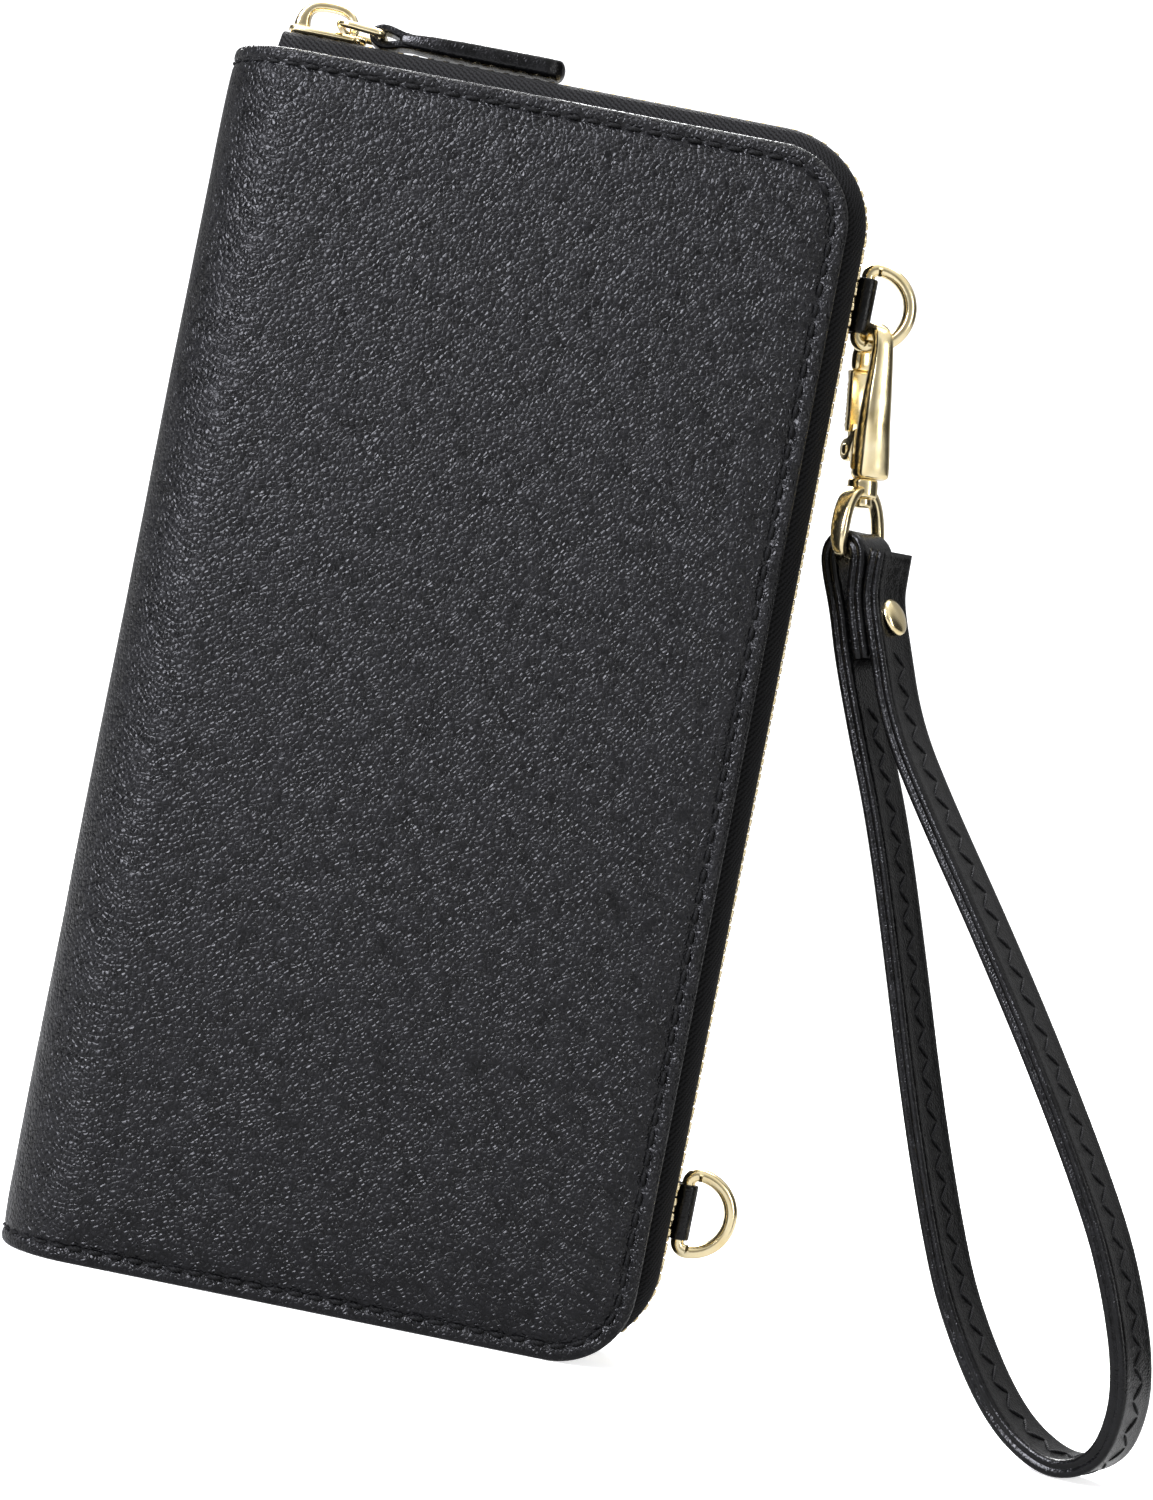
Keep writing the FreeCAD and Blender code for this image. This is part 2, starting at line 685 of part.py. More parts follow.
def clasp_gate(frame):
    """The sprung lever that closes the hook, and the pin it turns on."""
    pivot_x, pivot_z = -size("gate_inset"), -size("gate_drop")
    thick, width = size("gate_thickness"), size("gate_width")
    knuckle, pin = size("gate_knuckle"), size("pin_radius")
    top = -size("nose_length + 2 * running_gap")
    outer = -size("hook_radius") - thick / 2
    blade = Part.makeBox(thick, width, top - pivot_z, Vector(outer, -width / 2, pivot_z))
    hub = Part.makeCylinder(knuckle, width, Vector(pivot_x, -width / 2, pivot_z), Vector(0, 1, 0))
    hole = Part.makeCylinder(pin + 0.05, width, Vector(pivot_x, -width / 2, pivot_z), Vector(0, 1, 0))
    feature(blade.fuse(hub).cut(hole).removeSplitter(), "clasp_gate", frame)
    reach = size("gate_width / 2 + running_gap + ear")
    rod = Part.makeCylinder(pin, 2 * reach, Vector(pivot_x, -reach, pivot_z), Vector(0, 1, 0))
    feature(rod, "clasp_gate_pin", frame)


def clasp_eye(frame):
    """The swivelling stirrup: a head round the post, two arms and the bar that carries the strap."""
    top = -size("hook_length + running_gap")
    head, wire = size("swivel_head"), size("eye_wire / 2")
    half, foot = size("eye_half_width"), -size("eye_drop")
    corners = [Vector(0, y, z) for y, z in ((-half, foot), (half, foot), (half, top - head / 2), (-half, top - head / 2))]
    bend = size("eye_corner")
    ring = bent_wire(ring_wire(corners, [bend, bend, 3 * bend, 3 * bend]), wire)
    hub = Part.makeCylinder(size("swivel_radius"), head, Vector(0, 0, top), Vector(0, 0, -1))
    bore = Part.makeCylinder(size("post_radius + running_gap"), head, Vector(0, 0, top), Vector(0, 0, -1))
    feature(ring.fuse(hub).cut(bore).removeSplitter(), "clasp_eye", frame)


def strap_route():
    """Points along the middle of the band, from its cut end round the loop to the folded-over tail."""
    layer, fold, tail = size("strap_layer"), size("strap_fold"), size("strap_tail")
    foot, half = size("strap_length - strap_thickness / 2"), size("strap_half_loop")
    right = [(layer + 3.2, -1.5), (layer + 1.5, -5.0), (layer, -8.8), (layer, -16.0)]
    right += [(2.3, -30.0), (0.27 * half, -0.29 * foot), (0.54 * half, -0.43 * foot)]
    right += [(0.80 * half, -0.58 * foot), (0.97 * half, -0.72 * foot)]
    turn = [(half, -0.81 * foot), (0.82 * half, -0.92 * foot), (0.42 * half, -0.985 * foot)]
    limb = [(-x, z) for x, z in reversed(right[2:] + turn)]
    over = [(-fold, -0.5), (-0.7 * fold, 0.7 * fold), (0.0, fold), (0.7 * fold, 0.7 * fold), (fold, -0.5)]
    return right + turn + [(0.0, -foot)] + limb + over + [(1.1, -5.0), (0.0, -8.8), (0.0, -tail)]


def band_bends(points):
    """For each inner point: start, middle and end of the arc that rounds it, each with its heading."""
    bends = []
    for before, corner, after in zip(points, points[1:], points[2:]):
        inward, outward = corner - before, after - corner
        reach = 0.49 * min(inward.Length, outward.Length)
        inward.normalize()
        outward.normalize()
        half_turn = inward.getAngle(outward) / 2
        across = (outward - inward).normalize()
        sagitta = reach * (1 / math.cos(half_turn) - 1) / math.tan(half_turn)
        middle = corner + across * sagitta
        heading = (inward + outward).normalize()
        bends.append(
            ((corner - inward * reach, inward), (middle, heading), (corner + outward * reach, outward))
        )
    return bends


def band_side(points, bends, offset):
    """The edges of one face of the band, at an offset from its middle line."""

    def shifted(spot):
        point, heading = spot
        return point + Vector(-heading.z, 0, heading.x) * offset

    edges = []
    here = shifted((points[0], bends[0][0][1]))
    for bend in bends:
        start, middle, stop = (shifted(spot) for spot in bend)
        edges.append(Part.LineSegment(here, start).toShape())
        edges.append(Part.Arc(start, middle, stop).toShape())
        here = stop
    end = shifted((points[-1], bends[-1][2][1]))
    edges.append(Part.LineSegment(here, end).toShape())
    return edges, shifted((points[0], bends[0][0][1])), end


def wrist_strap(frame):
    """A flat band of folded leather: one loop, its end turned over the eye's bar."""
    points = [Vector(x, 0, z) for x, z in strap_route()]
    bends = band_bends(points)
    half, width = size("strap_thickness / 2"), size("strap_width")
    left, left_start, left_end = band_side(points, bends, half)
    right, right_start, right_end = band_side(points, bends, -half)
    ends = [Part.LineSegment(left_start, right_start).toShape(), Part.LineSegment(left_end, right_end).toShape()]
    outline = Part.Wire(Part.__sortEdges__(left + right + ends))
    band = Part.Face(outline).extrude(Vector(0, width, 0))
    band.translate(Vector(0, -width / 2, 0))
    reach = 2 * size("strap_layer")
    hole = Part.makeCylinder(
        size("rivet_post + running_gap"), 2 * reach, Vector(-reach, 0, -size("rivet_drop")), Vector(1, 0, 0)
    )
    feature(band.cut(hole), "wrist_strap", frame)


def strap_rivet(frame):
    """A domed rivet through the three layers, and its flat cap on the far side."""
    face = size("strap_layer + strap_thickness / 2 + running_gap")
    drop, cap, dome = -size("rivet_drop"), size("rivet_cap"), size("rivet_dome")
    ball = (cap**2 + dome**2) / (2 * dome)
    sphere = Part.makeSphere(ball, Vector(face + dome - ball, 0, drop))
    head = sphere.common(Part.makeCylinder(cap, dome, Vector(face, 0, drop), Vector(1, 0, 0)))
    post = Part.makeCylinder(size("rivet_post"), 2 * face, Vector(-face, 0, drop), Vector(1, 0, 0))
    feature(head.fuse(post).removeSplitter(), "strap_rivet", frame)
    back = Part.makeCylinder(cap, dome / 2, Vector(-face - dome / 2, 0, drop), Vector(1, 0, 0))
    feature(back, "strap_rivet_cap", frame)


def build_half(front, name):
    cover_leather(front, f"{name}_cover_leather")
    flat_layer(front, "leather", "board", BOARD, f"{name}_board")
    flat_layer(front, COVER_DEPTH, "lining", INSIDE, f"{name}_lining")
    card_slots(front, name)
    zip_tape(front, f"{name}_zip_tape")
    zip_teeth(front, f"{name}_zip_teeth")


def build():
    build_half(False, "rear")
    build_half(True, "front")
    coin_pocket()
    coin_zip()
    coin_slider()
    coin_pull()
    zip_slider()
    pull_link()
    pull_tab()
    for name, middle in (("upper", "(cover_height - upper_d_drop)"), ("lower", "lower_d_rise")):
        d_ring_tab(f"d_ring_tab_{name}", middle)
        d_ring(f"d_ring_{name}", middle)
    hook, eye, strap = clasp_frames()
    clasp_hook(hook)
    clasp_gate(hook)
    clasp_eye(eye)
    wrist_strap(strap)
    strap_rivet(strap)


def check_and_write():
    document.recompute()
    bad = [thing.Label for thing in document.Objects if {"Invalid", "Error"} & set(thing.State)]
    bad += [part.Label for part in nodes if part.Shape.isNull() or not part.Shape.isValid()]
    if bad:
        raise RuntimeError("these objects failed: " + ", ".join(bad))
    os.makedirs("parts", exist_ok=True)
    for part in nodes:
        part.Shape.exportStep(f"parts/{part.Label}.step")
        extent = part.Shape.BoundBox
        low = (round(extent.XMin, 2), round(extent.YMin, 2), round(extent.ZMin, 2))
        high = (round(extent.XMax, 2), round(extent.YMax, 2), round(extent.ZMax, 2))
        print(part.Label, len(part.Shape.Solids), round(part.Shape.Volume, 1), low, high)


build()
check_and_write()
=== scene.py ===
import math

import bmesh
import bpy
from mathutils import Matrix, Vector, noise


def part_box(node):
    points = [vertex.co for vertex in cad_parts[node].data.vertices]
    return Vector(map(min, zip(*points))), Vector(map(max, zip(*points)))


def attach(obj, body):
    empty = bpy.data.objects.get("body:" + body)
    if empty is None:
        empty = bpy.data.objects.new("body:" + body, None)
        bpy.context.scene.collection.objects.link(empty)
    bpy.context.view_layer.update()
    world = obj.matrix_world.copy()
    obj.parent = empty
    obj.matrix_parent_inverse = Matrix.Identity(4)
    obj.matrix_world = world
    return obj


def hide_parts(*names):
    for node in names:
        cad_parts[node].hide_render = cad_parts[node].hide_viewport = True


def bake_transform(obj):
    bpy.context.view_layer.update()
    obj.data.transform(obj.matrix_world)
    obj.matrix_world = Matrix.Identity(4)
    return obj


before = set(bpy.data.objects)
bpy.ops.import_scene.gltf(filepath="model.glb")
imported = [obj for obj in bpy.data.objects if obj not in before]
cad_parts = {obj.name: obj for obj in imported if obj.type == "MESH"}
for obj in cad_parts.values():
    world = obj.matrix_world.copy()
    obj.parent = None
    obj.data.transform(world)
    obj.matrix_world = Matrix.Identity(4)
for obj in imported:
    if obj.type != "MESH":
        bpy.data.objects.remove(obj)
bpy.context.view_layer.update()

MM = 0.001

# Main sizes of the wallet, in mm, as the solids have them.
HEIGHT, DEPTH, FREE, CORNER = 205.0, 26.0, 53.5, 13.0
SPINE_X, SPINE_R, MIDDLE = -40.5, 13.0, -13.0
LEATHER, COVER = 1.4, 3.2
SEAM, PITCH = 2.65, 3.4
ZIP_TOP, ZIP_RIGHT, ZIP_FOOT, ZIP_LEFT = 208.2, 56.7, 0.6, -45.5


# ---------------------------------------------------------------- materials


def linear(code):
    """A #rrggbb colour as the linear values that shaders take."""
    parts = [int(code[i : i + 2], 16) / 255 for i in (1, 3, 5)]
    return [c / 12.92 if c <= 0.04045 else ((c + 0.055) / 1.055) ** 2.4 for c in parts] + [1.0]


def add(tree, kind, links=(), **values):
    """A node with its properties and unlinked inputs set, and its linked inputs joined."""
    node = tree.nodes.new(kind)
    for key, value in values.items():
        if hasattr(node, key):
            setattr(node, key, value)
        else:
            node.inputs[key.replace("_", " ")].default_value = value
    for socket, source in dict(links).items():
        tree.links.new(source, node.inputs[socket])
    return node


def shader(name, **values):
    """A new material, its tree, its surface shader and the object coordinates."""
    material = bpy.data.materials.new(name)
    material.use_nodes = True
    tree = material.node_tree
    surface = tree.nodes["Principled BSDF"]
    for key, value in values.items():
        surface.inputs[key.replace("_", " ")].default_value = value
    place = tree.nodes.new("ShaderNodeTexCoord")
    return material, tree, surface, place


def ramp(tree, source, low, high, dark, light):
    """A colour between two codes, following a value from low to high."""
    node = add(tree, "ShaderNodeValToRGB", {"Fac": source})
    node.color_ramp.elements[0].position = low
    node.color_ramp.elements[1].position = high
    node.color_ramp.elements[0].color = linear(dark)
    node.color_ramp.elements[1].color = linear(light)
    return node.outputs["Color"]


def spread(tree, source, low, high, bottom, top):
    """A value mapped from low..high onto bottom..top."""
    node = add(tree, "ShaderNodeMapRange", {"Value": source})
    for key, value in zip(("From Min", "From Max", "To Min", "To Max"), (low, high, bottom, top)):
        node.inputs[key].default_value = value
    return node.outputs["Result"]


def pebbled_leather(name, dark, light, cell, height, rough):
    """Embossed coated leather: rounded pebbles parted by fine creases, which catch small points of light; its
    base colour carries painted shade in the creases.
    """
    material, tree, surface, place = shader(name, IOR=1.5, Specular_IOR_Level=0.25)
    where = place.outputs["Object"]
    warp = add(tree, "ShaderNodeTexNoise", {"Vector": where}, Scale=0.45 / cell, Detail=2.0)
    push = add(tree, "ShaderNodeVectorMath", {0: warp.outputs["Color"]}, operation="SCALE")
    push.inputs["Scale"].default_value = cell * 0.9
    moved = add(tree, "ShaderNodeVectorMath", {0: where, 1: push.outputs["Vector"]}, operation="ADD")
    pebbles = add(
        tree, "ShaderNodeTexVoronoi", {"Vector": moved.outputs["Vector"]}, feature="SMOOTH_F1", Scale=1 / cell
    )
    pebbles.inputs["Smoothness"].default_value = 0.35
    creases = add(
        tree,
        "ShaderNodeTexVoronoi",
        {"Vector": moved.outputs["Vector"]},
        feature="DISTANCE_TO_EDGE",
        Scale=1 / cell,
    )
    folds = add(tree, "ShaderNodeTexNoise", {"Vector": where}, Scale=0.22 / cell, Detail=4.0)
    pores = add(tree, "ShaderNodeTexNoise", {"Vector": where}, Scale=5 / cell, Detail=2.0)
    crease = spread(tree, creases.outputs["Distance"], 0.0, 0.22, 0.0, 1.0)
    dome = spread(tree, pebbles.outputs["Distance"], 0.0, 0.7, 1.0, 0.35)
    lump = add(tree, "ShaderNodeMath", {0: crease, 1: dome}, operation="MULTIPLY")
    slow = spread(tree, folds.outputs["Fac"], 0.35, 0.7, 0.0, 0.9)
    relief = add(tree, "ShaderNodeMath", {0: lump.outputs[0], 1: slow}, operation="ADD")
    bump = add(
        tree, "ShaderNodeBump", {"Height": relief.outputs[0]}, Strength=1.0, Distance=height
    )
    fine = add(
        tree,
        "ShaderNodeBump",
        {"Height": pores.outputs["Fac"], "Normal": bump.outputs["Normal"]},
        Strength=0.4,
        Distance=height * 0.08,
    )
    tree.links.new(fine.outputs["Normal"], surface.inputs["Normal"])
    # Base colour follows the relief: painted shade, darker in the creases and lighter on the pebble tops, with
    # random tone from the broad folds.
    tree.links.new(ramp(tree, relief.outputs[0], 0.2, 1.4, dark, light), surface.inputs["Base Color"])
    tree.links.new(
        spread(tree, folds.outputs["Fac"], 0.3, 0.7, rough[0], rough[1]), surface.inputs["Roughness"]
    )
    return material


def thread_material(name, dark, light):
    """Waxed twisted thread: fine slanting plies that break its sheen."""
    material, tree, surface, place = shader(name, Roughness=0.6, Sheen_Weight=0.03, Specular_IOR_Level=0.15)
    plies = add(
        tree,
        "ShaderNodeTexWave",
        {"Vector": place.outputs["Object"]},
        bands_direction="DIAGONAL",
        Scale=900.0,
        Distortion=1.2,
    )
    bump = add(tree, "ShaderNodeBump", {"Height": plies.outputs["Fac"]}, Strength=0.7, Distance=0.0001)
    tree.links.new(bump.outputs["Normal"], surface.inputs["Normal"])
    tree.links.new(ramp(tree, plies.outputs["Fac"], 0.1, 0.9, dark, light), surface.inputs["Base Color"])
    return material


def woven_tape(name, dark, light, thread=0.0004):
    """Herringbone zip tape: tight slanting threads along the strip, dull with a faint sheen."""
    material, tree, surface, place = shader(name, Roughness=0.8, Specular_IOR_Level=0.08)
    where = place.outputs["UV"]
    rib = add(tree, "ShaderNodeTexWave", {"Vector": where}, bands_direction="X", Scale=0.31 / thread)
    slant = add(tree, "ShaderNodeTexWave", {"Vector": where}, bands_direction="DIAGONAL", Scale=0.22 / thread)
    row = add(tree, "ShaderNodeTexWave", {"Vector": where}, bands_direction="Y", Scale=0.16 / thread)
    cross = add(tree, "ShaderNodeMath", {0: rib.outputs["Fac"], 1: row.outputs["Fac"]}, operation="MULTIPLY")
    weave = add(
        tree, "ShaderNodeMath", {0: cross.outputs[0], 1: slant.outputs["Fac"]}, operation="ADD"
    )
    lint = add(tree, "ShaderNodeTexNoise", {"Vector": place.outputs["Object"]}, Scale=2500.0, Detail=2.0)
    bump = add(tree, "ShaderNodeBump", {"Height": weave.outputs[0]}, Strength=0.7, Distance=0.00008)
    fuzz = add(
        tree,
        "ShaderNodeBump",
        {"Height": lint.outputs["Fac"], "Normal": bump.outputs["Normal"]},
        Strength=0.4,
        Distance=0.00006,
    )
    tree.links.new(fuzz.outputs["Normal"], surface.inputs["Normal"])
    tree.links.new(ramp(tree, weave.outputs[0], 0.2, 1.6, dark, light), surface.inputs["Base Color"])
    return material


def lining_material(name, dark, light):
    """Plain-woven satin lining: a fine grid of threads with a soft sheen."""
    material, tree, surface, place = shader(name, Roughness=0.6, Sheen_Weight=0.3, Sheen_Roughness=0.4)
    where = place.outputs["Object"]
    warp = add(tree, "ShaderNodeTexWave", {"Vector": where}, bands_direction="X", Scale=620.0)
    weft = add(tree, "ShaderNodeTexWave", {"Vector": where}, bands_direction="Z", Scale=620.0)
    grid = add(tree, "ShaderNodeMath", {0: warp.outputs["Fac"], 1: weft.outputs["Fac"]}, operation="MULTIPLY")
    slub = add(tree, "ShaderNodeTexNoise", {"Vector": where}, Scale=160.0, Detail=3.0)
    bump = add(tree, "ShaderNodeBump", {"Height": grid.outputs[0]}, Strength=0.5, Distance=0.0001)
    tree.links.new(bump.outputs["Normal"], surface.inputs["Normal"])
    tree.links.new(ramp(tree, slub.outputs["Fac"], 0.3, 0.7, dark, light), surface.inputs["Base Color"])
    return material


def plated_metal(name, dark, light, rough, scratch=0.000004):
    """Light gold plating over cast zinc: a clear shine with faint polishing marks and slight tarnish."""
    material, tree, surface, place = shader(name, Metallic=1.0)
    where = place.outputs["Object"]
    cloud = add(tree, "ShaderNodeTexNoise", {"Vector": where}, Scale=260.0, Detail=3.0)
    marks = add(tree, "ShaderNodeTexNoise", {"Vector": where}, Scale=3000.0, Detail=2.0)
    bump = add(tree, "ShaderNodeBump", {"Height": marks.outputs["Fac"]}, Strength=0.35, Distance=scratch)
    tree.links.new(bump.outputs["Normal"], surface.inputs["Normal"])
    tree.links.new(ramp(tree, cloud.outputs["Fac"], 0.3, 0.7, dark, light), surface.inputs["Base Color"])
    tree.links.new(
        spread(tree, cloud.outputs["Fac"], 0.3, 0.7, rough * 0.8, rough * 1.3), surface.inputs["Roughness"]
    )
    return material


def card_material(name, dark, light):
    """Pressed grey card: short fibres and flecks under the leather."""
    material, tree, surface, place = shader(name, Roughness=0.85)
    flecks = add(tree, "ShaderNodeTexNoise", {"Vector": place.outputs["Object"]}, Scale=1400.0, Detail=4.0)
    bump = add(tree, "ShaderNodeBump", {"Height": flecks.outputs["Fac"]}, Strength=0.4, Distance=0.00005)
    tree.links.new(bump.outputs["Normal"], surface.inputs["Normal"])
    tree.links.new(ramp(tree, flecks.outputs["Fac"], 0.3, 0.7, dark, light), surface.inputs["Base Color"])
    return material


COVER_LEATHER = pebbled_leather("pebbled_black_leather", "#050506", "#111113", 0.00085, 0.00017, (0.28, 0.4))
FINE_LEATHER = pebbled_leather("fine_black_strap_leather", "#050505", "#0c0c0d", 0.0006, 0.00003, (0.18, 0.3))
THREAD = thread_material("black_waxed_thread", "#060606", "#141415")
TAPE = woven_tape("woven_black_zip_tape", "#060606", "#202021")
LINING = lining_material("black_satin_lining", "#0e0e10", "#1c1c1f")
GOLD = plated_metal("light_gold_plated_zinc", "#ead6a2", "#f7e8bf", 0.19)
TEETH = plated_metal("pale_gold_zip_brass", "#d9c79a", "#efe0bb", 0.22)
CARD = card_material("grey_pressed_card", "#6d6a66", "#8b8883")


# ------------------------------------------------------------------- meshes


def piece(name, points, faces, material, uvs=None):
    """A smooth mesh object from points in mm, with its faces turned outwards."""
    mesh = bpy.data.meshes.new(name)
    mesh.from_pydata([Vector(point) * MM for point in points], [], faces)
    mesh.materials.append(material)
    if uvs:
        layer = mesh.uv_layers.new(name="Strip")
        for loop in mesh.loops:
            layer.data[loop.index].uv = [value * MM for value in uvs[loop.vertex_index]]
    work = bmesh.new()
    work.from_mesh(mesh)
    bmesh.ops.recalc_face_normals(work, faces=work.faces)
    work.to_mesh(mesh)
    work.free()
    mesh.polygons.foreach_set("use_smooth", [True] * len(mesh.polygons))
    made = bpy.data.objects.new(name, mesh)
    bpy.context.scene.collection.objects.link(made)
    return made


def fit(made, body, slot, *nodes):
    """The piece rides on its body and stands for its solids; the slot it is given is not used."""
    if body:
        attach(made, body)
    if nodes:
        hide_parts(*nodes)
    return made


def skin(rings, closed_path=False):
    """Faces between closed rings of equal length, with end caps unless the last ring joins the first."""
    count, size = len(rings), len(rings[0])
    points = [point for ring in rings for point in ring]
    faces = []
    for i in range(count if closed_path else count - 1):
        for j in range(size):
            a, b = i * size + j, i * size + (j + 1) % size
            c, d = ((i + 1) % count) * size + (j + 1) % size, ((i + 1) % count) * size + j
            faces.append((a, b, c, d))
    if not closed_path:
        faces.append(tuple(range(size)))
        faces.append(tuple((count - 1) * size + j for j in range(size)))
    return points, faces


def headings(path, closed=False):
    """Unit headings along a path."""
    result = []
    for i, _ in enumerate(path):
        before = path[i - 1] if i or closed else path[0]
        after = path[(i + 1) % len(path)] if i + 1 < len(path) or closed else path[-1]
        result.append((after - before).normalized())
    return result


def tube(path, radius, normal, closed, sides):
    """Rings round a path that lies in the plane with this normal."""
    rings = []
    sizes = radius if isinstance(radius, list) else [radius] * len(path)
    for point, heading, size in zip(path, headings(path, closed), sizes):
        across = heading.cross(normal).normalized()
        turns = [2 * math.pi * k / sides for k in range(sides)]
        rings.append([point + across * (math.cos(a) * size) + normal * (math.sin(a) * size) for a in turns])
    return skin(rings, closed_path=closed)


def rounded(corners, radii, steps, closed=True):
    """A path through corners, each rounded by an arc of its radius."""
    path = []
    count = len(corners)
    for i, corner in enumerate(corners):
        if not closed and i in (0, count - 1):
            path.append(corner)
            continue
        into = (corner - corners[i - 1]).normalized()
        out = (corners[(i + 1) % count] - corner).normalized()
        turn = into.angle(out)
        reach = radii[i] * math.tan(turn / 2)
        start, stop = corner - into * reach, corner + out * reach
        centre = start + (out - into * into.dot(out)).normalized() * radii[i]
        for k in range(steps + 1):
            share = k / steps
            spin = (start - centre) * math.sin((1 - share) * turn) + (stop - centre) * math.sin(share * turn)
            path.append(centre + spin / math.sin(turn))
    return path


def spaced(path, step):
    """The same path with its long runs divided evenly."""
    result = [path[0]]
    for before, after in zip(path, path[1:]):
        count = max(1, math.ceil((after - before).length / step))
        result += [before.lerp(after, k / count) for k in range(1, count + 1)]
    return result


def smooth_route(points, step):
    """A quadratic spline that starts and ends at the outer points and bends towards the others."""
    middles = [points[0]] + [a.lerp(b, 0.5) for a, b in zip(points[1:], points[2:-1])] + [points[-1]]
    path = [points[0]]
    for start, pull, stop in zip(middles, points[1:-1], middles[1:]):
        count = max(2, math.ceil(((pull - start).length + (stop - pull).length) / step))
        for k in range(1, count + 1):
            t = k / count
            path.append(start * (1 - t) ** 2 + pull * (2 * t * (1 - t)) + stop * t**2)
    return path


def joined(parts):
    """Points and faces of several meshes as one."""
    points, faces = [], []
    for some_points, some_faces in parts:
        base = len(points)
        points += some_points
        faces += [tuple(base + i for i in face) for face in some_faces]
    return points, faces


def stitch(spot, heading, normal, length=2.6, radius=0.28, rise=0.22):
    """One stitch of thread, arched a little, whose ends dive into the leather."""
    across = normal.cross(heading).normalized()
    rings = []
    for share in (-1.0, -0.82, -0.45, 0.0, 0.45, 0.82, 1.0):
        size = radius * (1 - share**4) ** 0.5 + 0.02
        middle = spot + heading * (share * length / 2) + normal * (rise * (1 - 1.9 * share**2))
        turns = [math.pi * k / 3 for k in range(6)]
        rings.append([middle + across * (math.cos(a) * size) + normal * (math.sin(a) * size) for a in turns])
    return skin(rings)


def softened(name, node, body, slot, material, width, segments=2):
    """A copy of a rigid solid with its sharp edges broken."""
    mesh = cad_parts[node].data.copy()
    mesh.name = name
    work = bmesh.new()
    work.from_mesh(mesh)
    bmesh.ops.remove_doubles(work, verts=work.verts, dist=2e-6)
    bmesh.ops.dissolve_limit(work, angle_limit=math.radians(1.5), verts=work.verts, edges=work.edges)
    sharp = [e for e in work.edges if len(e.link_faces) == 2 and e.calc_face_angle() > math.radians(28)]
    bmesh.ops.bevel(
        work,
        geom=sharp,
        offset=width * MM,
        offset_type="OFFSET",
        segments=segments,
        affect="EDGES",
        clamp_overlap=True,
    )
    bmesh.ops.recalc_face_normals(work, faces=work.faces)
    work.to_mesh(mesh)
    work.free()
    mesh.materials.clear()
    mesh.materials.append(material)
    mesh.polygons.foreach_set("use_smooth", [True] * len(mesh.polygons))
    made = bpy.data.objects.new(name, mesh)
    bpy.context.scene.collection.objects.link(made)
    return fit(made, body, slot, node)


# ------------------------------------------------------------- outer leather

EDGE_STEPS = (0, 0.06, 0.2, 0.4, 0.65, 0.95, 1.3, 1.7, 2.05, 2.35)
EDGE_STEPS += (2.65, 2.95, 3.25, 3.6, 4.0, 4.5, 5.1, 5.8, 6.7, 8)
EDGE_STEPS += (9.5, 11.2, 13)


def free_edge(z):
    """The free edge's X at a height, along its rounded corners."""
    inset = min(z, HEIGHT - z)
    if inset >= CORNER:
        return FREE
    return FREE - CORNER + math.sqrt(CORNER**2 - (CORNER - inset) ** 2)


def inset_of(x, z):
    """How far a point lies inside a cover's outline."""
    side, end = FREE - x, min(z, HEIGHT - z)
    if side < CORNER and end < CORNER:
        return CORNER - math.hypot(CORNER - side, CORNER - end)
    return min(side, end)


def relief(inset, run, padding, z, s):
    """How far the leather stands off its flat face: rolled edge, pulled-in seam and soft padding."""
    edge = 0.95
    height = 0.0
    if inset < edge:
        height -= edge - math.sqrt(max(0.0, edge**2 - (edge - inset) ** 2))
    height += 0.12 * math.exp(-(((inset - 1.5) / 0.7) ** 2))
    pull = 0.34 + 0.12 * math.cos(2 * math.pi * run / PITCH)
    height -= pull * math.exp(-(((inset - SEAM) / 0.5) ** 2))
    if inset > SEAM:
        height += padding * (1 - math.exp(-(((inset - SEAM) / 3.2) ** 1.3)))
    height += 0.16 * min(1.0, inset / 9) * noise.noise(Vector((s / 26, z / 34, 1.7)))
    height += 0.05 * min(1.0, inset / 6) * noise.noise(Vector((s / 7, z / 9, 8.1)))
    return height


def seam_run(x, z):
    """Rough length along the seam, to lay the puckers at the stitches."""
    if FREE - x < min(z, HEIGHT - z):
        return z
    return x


def outer_columns():
    """Columns round the wallet: the panel they lie on and their share or inset."""
    flat = [k / 34 for k in range(1, 34)]
    turns = [k / 26 for k in range(27)]
    columns = [("front", "inset", e) for e in EDGE_STEPS] + [("front", "share", k) for k in flat]
    columns += [("spine", "turn", k) for k in turns]
    columns += [("rear", "share", 1 - k) for k in flat]
    return columns + [("rear", "inset", e) for e in reversed(EDGE_STEPS)]


